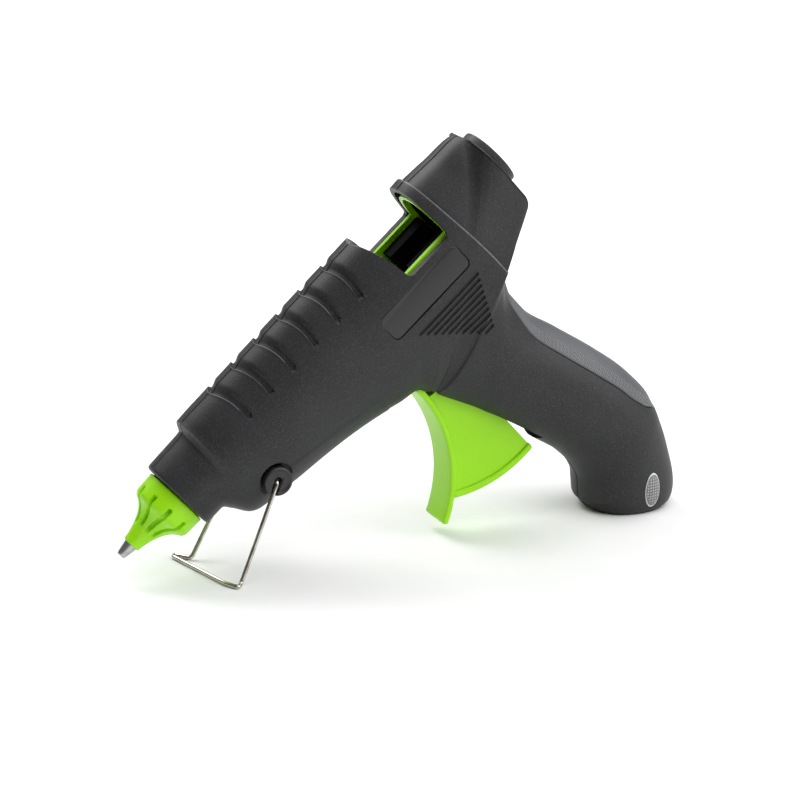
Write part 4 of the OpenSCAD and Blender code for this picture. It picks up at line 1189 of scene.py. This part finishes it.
@dataclass
class GripPad:
    """The soft grip over the back of the handle."""

    form: CasingForm

    def build(self) -> Solid:
        """The pad: the casing's smooth form between its edges, over a wall, both sides.

        Returns:
            The solid, with a map of the way along and the distance from its edge.
        """
        rows = self.form.stations()
        knots = self.form.knots(rows)
        start, end = knots[list(self.form.grip_rows)] + [0.35, -0.35]
        ease = np.array([0, 0.12, 0.3, 0.55, 0.9])
        way = np.concatenate([start + ease, np.arange(start + 1.3, end - 1.3, 1.0),
                              end - ease[::-1]])
        k = np.linspace(0, 1, 34)
        cols = np.concatenate([[0, 0.004, 0.01, 0.018, 0.028], k[k > 0.034]])
        g = self.form.grid(way, np.array([0.0]), cols)
        p, n = g["p"][:, 1:], g["n"][:, 1:]
        first = p[:, :1]
        p = p.copy()
        d = np.linalg.norm(np.diff(p, axis=1), axis=-1)
        inset = np.concatenate([np.zeros((len(p), 1)), np.cumsum(d, 1)], 1)
        gap = 0.32
        tangent = p[:, 1:2] - first
        tangent /= np.linalg.norm(tangent, axis=-1, keepdims=True)
        p = p + tangent * gap * np.clip(1 - inset / 2, 0, 1)[..., None]
        ends = np.minimum(way - way[0], way[-1] - way)[:, None]
        edge = np.minimum(inset, ends)
        roll = np.clip(1 - edge / 0.7, 0, 1)
        low = 0.6 * (1 - np.sqrt(1 - roll ** 2 + 1e-9)) + 0.05
        belly = 0.25 * step(edge, 0.7, 7)
        outer = p + n * (belly - low)[..., None]
        inner = p - n * (self.form.recess - 0.15)
        both = []
        for surface in (outer, inner):
            other = surface[:, -2::-1] * [1, -1, 1]
            surface[:, -1, 1] = 0
            both.append(np.concatenate([surface, other], 1))
        m = both[0].shape[1]
        ring = np.concatenate([both[0], both[1][:, ::-1]], 1)
        solid = loft(ring)
        inset2 = np.concatenate([edge, edge[:, -2::-1]], 1)
        u = np.repeat((way - way[0])[:, None], 2 * m, 1)
        v = np.concatenate([inset2, inset2[:, ::-1]], 1)
        solid.uv = np.stack([u, v], -1).reshape(-1, 2) / 100
        return solid


# ---------------------------------------------------------------- nozzle


@dataclass(frozen=True)
class Nozzle:
    """The insulated nozzle cap with its cooling slots, and the metal tip."""

    cap_l: float = 22.2
    cap_r: float = 11.4
    slots: int = 10
    tip_l: float = 5.0
    slot_w: float = 1.56
    slot_depth: float = 2.2

    def cap(self) -> Solid:
        """The cap: a flared profile turned about the axis, less round-ended slots."""
        knots = np.array([(0, 3.05), (2.7, 3.5), (7.2, 4.85), (10.2, 6.35), (12.2, 8.2),
                          (13.6, 10.3), (15.0, 11.0), (19.5, 11.22), (21.4, 11.3)], float)
        x = np.linspace(0, 21.4, 120)
        r = monotone(knots[:, 0], knots[:, 1:], x)[:, 0]
        r = r - 0.45 * (1 - np.sqrt(1 - np.clip(1 - x / 0.5, 0, 1) ** 2 + 1e-9))
        k = np.linspace(0, np.pi / 2, 7)
        x = np.concatenate([x, 21.4 + 0.45 * np.sin(k), [22.0, 22.2, 25.2]])
        r = np.concatenate([r, 11.3 - 0.45 * (1 - np.cos(k)), [10.1, 10.0, 10.0]])
        a = np.linspace(0, 2 * np.pi, 400, endpoint=False)
        turn = a * self.slots / (2 * np.pi) + 0.5
        off = (turn - np.round(turn)) * (2 * np.pi / self.slots)
        round_end = np.clip((x[:, None] - 16.7) / 0.75, 0, 1)
        half = self.slot_w / 2 * np.sqrt(1 - round_end ** 2 + 1e-9)
        across = np.abs(off[None]) * r[:, None]
        deep = self.slot_depth * step(x[:, None], 5.8, 9.4) * (round_end < 1)
        rr = r[:, None] - deep * (1 - step(across / np.maximum(half, 1e-3), 0.75, 1.15))
        rings = np.stack([np.repeat((x - self.cap_l)[:, None], 400, 1),
                          rr * np.cos(a), rr * np.sin(a)], -1)
        return loft(rings)

    def tip(self) -> Solid:
        """The tip: a turned cone with a rounded end and its orifice."""
        e = -self.cap_l - self.tip_l
        profile = np.array([(e + 3, 0.02), (e + 2.9, 0.8), (e + 0.25, 0.88), (e, 1.0), (e - 0.02, 1.15),
                            (e + 0.1, 1.38), (e + 0.4, 1.55), (e + 1.5, 1.78), (e + 3, 2.05),
                            (e + 4.4, 2.3), (e + 5.1, 2.5), (e + 8, 2.62), (e + 20, 2.62),
                            (e + 20.1, 0.02)])
        return lathe(profile)


# ---------------------------------------------------------------- trigger


@dataclass(frozen=True)
class Trigger:
    """The trigger: finger plate, closing arc, side walls and the lever inside."""

    pivot: tuple[float, float] = (94.0, -37.0)
    width: float = 14.4
    arc_r: float = 48.8
    arc_t: float = 2.4
    face_centre: tuple[float, float] = (-60.0, -1.0)
    face_r: float = 47.0
    face_t: float = 2.2
    web: float = 6.3
    lever_l: float = 21.0
    lever_r: float = 3.0
    lever_t: float = 2.3

    def strip(self, centre: Sequence[float], radius: float, thick: float, a0: float,
              a1: float, round_start: bool) -> Solid:
        """A curved strip: a rounded rectangle carried along an arc in the side plane.

        Args:
            centre: x and z of the arc's centre.
            radius: Radius of the strip's middle.
            thick: Its thickness.
            a0: Start angle in degrees.
            a1: End angle in degrees, where the strip is rounded off.
            round_start: Whether the start is rounded off too.

        Returns:
            The solid.
        """
        section = rounded_box(thick, self.width, min(0.62, thick * 0.3), 7)
        a = np.radians(np.linspace(a0, a1, 90))
        length = abs(a[-1] - a[0]) * radius
        s = np.linspace(0, length, 90)
        nearest = np.minimum(s, length - s) if round_start else length - s
        shrink = 1 - np.sqrt(1 - np.clip(1 - nearest, 0, 1) ** 2 + 1e-9)
        p = section[None, :, 0] * (1 - 0.75 * shrink[:, None])
        q = section[None, :, 1] * (1 - 0.12 * shrink[:, None])
        x = centre[0] + (radius + p) * np.cos(a)[:, None]
        z = centre[1] + (radius + p) * np.sin(a)[:, None]
        return loft(np.stack([x, q * np.ones_like(x), z], -1))

    def walls(self) -> Solid:
        """The side walls: a fan between the finger plate's curve and the arc, as one web."""
        p = np.array(self.pivot)
        b = np.radians(np.linspace(-4, -50.3, 40))[:, None]
        face = p + self.face_centre + (self.face_r + 1.6) * np.hstack([np.cos(b), np.sin(b)])
        a = np.radians(np.linspace(-125.8, -86.4, 50))[:, None]
        rim = p + (self.arc_r - 1) * np.hstack([np.cos(a), np.sin(a)])
        top = p + [[3, -6], [-8, -5]]
        return prism(np.concatenate([face, rim, top]), -self.web, self.web)

    def build(self) -> Solid:
        """The whole trigger, its members run into each other."""
        p = np.array(self.pivot)
        face = self.strip(p + self.face_centre, self.face_r + self.face_t / 2, self.face_t,
                          -62.6, 3, True)
        arc = self.strip(p, self.arc_r - self.arc_t / 2, self.arc_t, -126.6, -86, False)
        hub = disc(p, 4.6, -self.web, self.web)
        lean, t = math.radians(11), self.lever_t
        q = p + self.lever_l * np.array([math.sin(lean), math.cos(lean)])
        n = np.array([math.cos(lean), -math.sin(lean)]) * self.lever_r
        legs = [prism(np.array([p - n, q - n, q + n, p + n]), y, y + t).joined(
            disc(q, self.lever_r, y, y + t)) for y in (-4.5, 2.2)]
        return face.joined(arc, self.walls(), hub, *legs)


# ---------------------------------------------------------------- wire stand


@dataclass(frozen=True)
class WireStand:
    """The bent wire stand and the two hubs that it turns in."""

    gun: GunFrame
    hub: tuple[float, float] = (26.1, -15.3)
    hub_r: float = 5.0
    hub_floor: float = 13.3
    hub_face: float = 17.2
    wire_r: float = 0.75
    foot_x: float = 14.7
    foot_near: float = 20.8
    foot_out: float = 15.8

    def foot(self, dx: float, y: float) -> tuple[float, float, float]:
        """The point of the wire on the table at a reach dx behind the hubs and at y."""
        reach = self.hub[0] * self.gun.cos - self.hub[1] * self.gun.sin
        x, z = self.gun.placed(reach + dx, self.wire_r)
        return float(x), y, float(z)

    def wire(self) -> Solid:
        """The wire: a round bar along the bent line of hub, leg, foot, leg and hub."""
        leg, inner, near, out = self.hub_face - 1.1, self.hub_floor - 3.7, self.foot_near, self.foot_out
        hx, hz = self.hub
        f = -self.foot_x
        line = bent(np.array([
            (hx, -inner, hz), (hx, -leg, hz), self.foot(f, -near + 2.6),
            self.foot(f - 1.8, -near), self.foot(f - 4.4, -near + 5),
            self.foot(f - 11.6, out - 1), self.foot(f - 10.6, out),
            self.foot(f - 8.4, out - 2.4), self.foot(f - 6.6, out - 5.2),
            (hx, leg, hz), (hx, inner, hz)]), 2.0)
        keep = np.concatenate([[True], np.linalg.norm(np.diff(line, axis=0), axis=1) > 0.02])
        return rod(line[keep], self.wire_r, 24)

    def hub_piece(self) -> Solid:
        """A left hub: a rounded disc over a stub, its face dished round the wire's slot."""
        t = np.linspace(0, 2 * np.pi, 96, endpoint=False)
        foot = np.array(self.foot(-self.foot_x, 0.0))
        lean = math.atan2(foot[2] - self.hub[1], foot[0] - self.hub[0])
        rim, stub, face, floor = self.hub_r, 3.0, -self.hub_face, -self.hub_floor
        rings = []
        for r, y in [(0.02, floor + 3.9), (stub, floor + 3.9), (stub, floor - 0.2),
                     (rim - 0.3, floor - 0.2), (rim, floor - 0.5), (rim, face + 0.6),
                     (rim - 0.15, face + 0.2), (rim - 0.5, face), (4.1, face),
                     (3.8, face + 0.25), *((r, face + 0.4) for r in (3.2, 2.4, 1.6, 0.9, 0.02))]:
            px, pz = r * np.cos(t), r * np.sin(t)
            along = px * math.cos(lean) + pz * math.sin(lean)
            across = -px * math.sin(lean) + pz * math.cos(lean)
            slot = (1 - step(np.abs(across), 0.85, 1.25)) * step(along, -1.6, -0.4)
            y = y + slot * (1.9 if r < 4.6 else 1.6) * (y < face + 0.7)
            rings.append(np.stack([self.hub[0] + px, y, self.hub[1] + pz], -1))
        rings = np.array(rings)
        k = np.linspace(0, 1, 4)[:-1, None, None]
        dense = [a * (1 - k) + b * k for a, b in zip(rings[:-1], rings[1:])]
        return loft(np.concatenate([*dense, rings[-1:]]))

    def hubs(self) -> Solid:
        """Both hubs."""
        left = self.hub_piece()
        return left.joined(left.mirrored())


# ---------------------------------------------------------------- studio


@dataclass(frozen=True)
class Studio:
    """Pale floor, soft lights and the camera."""

    aim: tuple[float, float, float] = (-0.001455, 0.0, 0.0503)
    distance: float = 0.9
    azimuth: float = 25.0
    elevation: float = 18.0
    lens: float = 118.67

    def direction(self) -> Vector:
        """The way from the object back to the camera."""
        a, e = math.radians(self.azimuth), math.radians(self.elevation)
        return Vector((-math.sin(a) * math.cos(e), -math.cos(a) * math.cos(e), math.sin(e)))

    def camera(self) -> None:
        """Places the camera and makes it the scene's."""
        data = bpy.data.cameras.new("camera")
        data.lens, data.sensor_width, data.clip_start = self.lens, 36, 0.02
        data.dof.use_dof = False
        cam = bpy.data.objects.new("camera", data)
        bpy.context.scene.collection.objects.link(cam)
        cam.location = Vector(self.aim) + self.direction() * self.distance
        cam.rotation_mode = "QUATERNION"
        cam.rotation_quaternion = (-self.direction()).to_track_quat("-Z", "Y")
        bpy.context.scene.camera = cam

    def floor(self) -> None:
        """A wide pale floor under the object."""
        mesh = bpy.data.meshes.new("floor")
        r = 6.0
        mesh.from_pydata([(-r, -r, 0), (r, -r, 0), (r, r, 0), (-r, r, 0)], [], [(0, 1, 2, 3)])
        obj = bpy.data.objects.new("floor", mesh)
        bpy.context.scene.collection.objects.link(obj)
        graph = Graph("floor_paper")
        coord = graph.node("TexCoord").outputs["Object"]
        fibre = graph.noise(coord, 60, 3)
        base = graph.shade(fibre, (0.88, 0.88, 0.88), (0.92, 0.92, 0.92))
        mesh.materials.append(graph.finish({"Base Color": base, "Roughness": 0.9}))

    def lamp(self, kind: str, offset: Sequence[float], **settings: float) -> None:
        """A lamp of some kind, off from the aim by an offset, which shines back at it."""
        data = bpy.data.lights.new(kind.lower(), kind)
        for key, value in settings.items():
            setattr(data, key, value)
        obj = bpy.data.objects.new(kind.lower(), data)
        bpy.context.scene.collection.objects.link(obj)
        obj.location = Vector(self.aim) + Vector(offset)
        obj.rotation_mode = "QUATERNION"
        obj.rotation_quaternion = Vector(offset).to_track_quat("Z", "Y")

    def light(self) -> None:
        """The room's light, a wide soft sun and two soft lamps."""
        world = bpy.data.worlds.new("room")
        world.use_nodes = True
        back = world.node_tree.nodes["Background"]
        back.inputs[0].default_value = (1, 1, 1, 1)
        back.inputs[1].default_value = 0.12
        bpy.context.scene.world = world
        bpy.context.scene.view_settings.view_transform = "Standard"
        self.lamp("SUN", (0.45, -0.25, 1.0), energy=3.1, angle=math.radians(85))
        self.lamp("AREA", (0.901455, -0.8, 0.4497), energy=4, size=0.7)
        self.lamp("AREA", (-0.248545, 0.8, 0.9497), energy=11, size=0.8)

    def build(self) -> None:
        """Makes camera, floor and lights."""
        self.camera()
        self.floor()
        self.light()


# ---------------------------------------------------------------- the whole gun


class GlueGun:
    """Builds and dresses the whole gun."""

    def __init__(self, gun: GunFrame) -> None:
        """Makes the finishes.

        Args:
            gun: The gun's frame.
        """
        self.gun = gun
        self.bench = Bench(gun)
        g = gun
        self.casing = Casing("casing_plastic", g, (0.0085, 0.0087, 0.0094), (0.025, 0.0258, 0.0276),
                             0.5, 0.45, 0.06, 0.45, 0.4)
        self.green = Moulded("green_plastic", g, (0.31, 0.72, 0.004), (0.36, 0.8, 0.007),
                             0.36, 0.8, 0.006, 0.1, 0.35, 0.1)
        self.black = Moulded("black_plastic", g, (0.012, 0.012, 0.013), (0.024, 0.024, 0.026),
                             0.4, 0.4, 0.015, 0.1, 0.5)
        self.plate = Moulded("badge_plastic", g, (0.012, 0.012, 0.013), (0.02, 0.02, 0.022),
                             0.3, 0.25, 0.006, 0.1, 0.5)
        self.wire = Metal("polished_wire", g, (0.66, 0.62, 0.56), (0.3, 0.27, 0.23), 0.16,
                          (1.0, 1.0, 0.4))
        self.tip = Metal("turned_tip", g, (0.5, 0.5, 0.51), (0.34, 0.34, 0.35), 0.34,
                         (2.2, 0.4, 2.2))

    def dress_nodes(self) -> None:
        """Gives the CAD nodes that stay their finishes."""
        g = self.gun
        steel = Metal("bright_steel", g, (0.6, 0.6, 0.61), (0.42, 0.42, 0.43), 0.25)
        dull = Metal("dull_steel", g, (0.4, 0.41, 0.43), (0.25, 0.25, 0.27), 0.38)
        cast = Metal("cast_alloy", g, (0.5, 0.5, 0.51), (0.33, 0.33, 0.34), 0.5, (0.6, 0.6, 0.6))
        brass = Metal("brass", g, (0.72, 0.5, 0.2), (0.5, 0.33, 0.12), 0.3)
        ceramic = Moulded("ceramic", g, (0.42, 0.4, 0.36), (0.55, 0.52, 0.47), 0.8, 0.3, 0.03, 0.2)
        silicone = Moulded("silicone", g, (0.42, 0.09, 0.04), (0.55, 0.14, 0.07), 0.6, 0.6, 0.01)
        seat = Moulded("seat_foam", g, (0.5, 0.47, 0.4), (0.66, 0.62, 0.55), 0.85, 0.35, 0.05, 0.4)
        board = Moulded("board", g, (0.02, 0.12, 0.04), (0.03, 0.2, 0.07), 0.4, 0.5, 0.01)
        lamp = Moulded("lamp_dome", g, (0.6, 0.58, 0.5), (0.75, 0.72, 0.64), 0.25, 0.6, 0.005)
        brown = Moulded("lead_brown", g, (0.11, 0.05, 0.02), (0.16, 0.08, 0.035), 0.5, 0.4, 0.01)
        blue = Moulded("lead_blue", g, (0.03, 0.08, 0.24), (0.05, 0.13, 0.34), 0.5, 0.4, 0.01)
        # Painted shade: the parts seen deep in the feed window (stick cradle, grip jaw, stick guide)
        # are dark plastic, painted near black with almost no gloss, darker than the black plastic, to
        # stand for the shade inside the casing.
        inside = Moulded("inside_plastic", g, (0.002, 0.002, 0.0022), (0.004, 0.004, 0.0043),
                         0.8, 0.4, 0.015, 0.1, 0.06)
        worn = {"melt_chamber": cast, "heater_element": ceramic, "heater_plates": brass,
                "heater_clip": dull, "chamber_seat_front": seat, "chamber_seat_rear": seat,
                "inlet_sleeve": silicone, "sleeve_clip": dull, "feed_carriage": self.green,
                "stick_cradle": inside, "grip_jaw": inside, "jaw_pin": steel,
                "drive_link": dull, "lever_pin": steel, "link_pin": steel,
                "trigger_pin": steel, "return_spring": dull, "lamp_board": board,
                "lamp": lamp, "stick_guide": inside, "inlet_socket": self.black,
                "inlet_pins": steel, "lead_live": brown, "lead_neutral": blue,
                "lead_terminals": brass, "case_screws": dull}
        for name, finish in worn.items():
            mesh = frame["nodes"][name].data
            mesh.materials.clear()
            mesh.materials.append(finish.material())
            log.info("%s: finish %s", name, finish.name)

    def build(self) -> None:
        """Builds every piece in order."""
        form = CasingForm(self.gun)
        bench, settle = self.bench, self.bench.settle
        left = CasingHalf(form, bench, Side.LEFT)
        settle(left.build(), "gun", "casing", self.casing, ["shell_left"])
        right = CasingHalf(form, bench, Side.RIGHT)
        settle(right.build(), "gun", "casing", self.casing, ["shell_right"])
        for half in (left, right):
            name = "badge_" + half.side.name.lower()
            settle(bench.blank(name + "_plate", half.badge()), "gun", "badge", self.plate, [name])
        lens = Prismed("lens", self.gun, left.lens_place)
        settle(bench.blank("lens", left.lens(), 50), "gun", "lens", lens, ["lamp_lens"])
        settle(bench.blank("grip_pad", GripPad(form).build(), 50), "gun", "soft_grip",
               SoftGrip("soft_grip", self.gun), ["grip_insert"])
        nozzle = Nozzle()
        settle(bench.blank("cap", nozzle.cap(), 50), "gun", "green_plastic", self.green,
               ["nozzle_cap"])
        settle(bench.blank("tip", nozzle.tip(), 40), "gun", "tip_metal", self.tip,
               ["nozzle_tip"])
        settle(bench.blank("finger_trigger", Trigger().build(), 40), "trigger",
               "green_plastic", self.green, ["trigger"])
        stand = WireStand(self.gun)
        settle(bench.blank("wire", stand.wire(), 60), "stand", "wire", self.wire, ["stand_wire"])
        settle(bench.blank("hubs", stand.hubs(), 40), "stand", "black_plastic", self.black,
               ["stand_hubs"])
        self.dress_nodes()


def main() -> None:
    """Builds the gun and the studio."""
    logging.basicConfig(level=logging.INFO, format="%(name)s %(message)s")
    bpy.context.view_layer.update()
    gun = GunFrame.from_record(frame["record"])
    GlueGun(gun).build()
    Studio().build()
    bpy.context.view_layer.update()


if __name__ == "__main__":
    main()
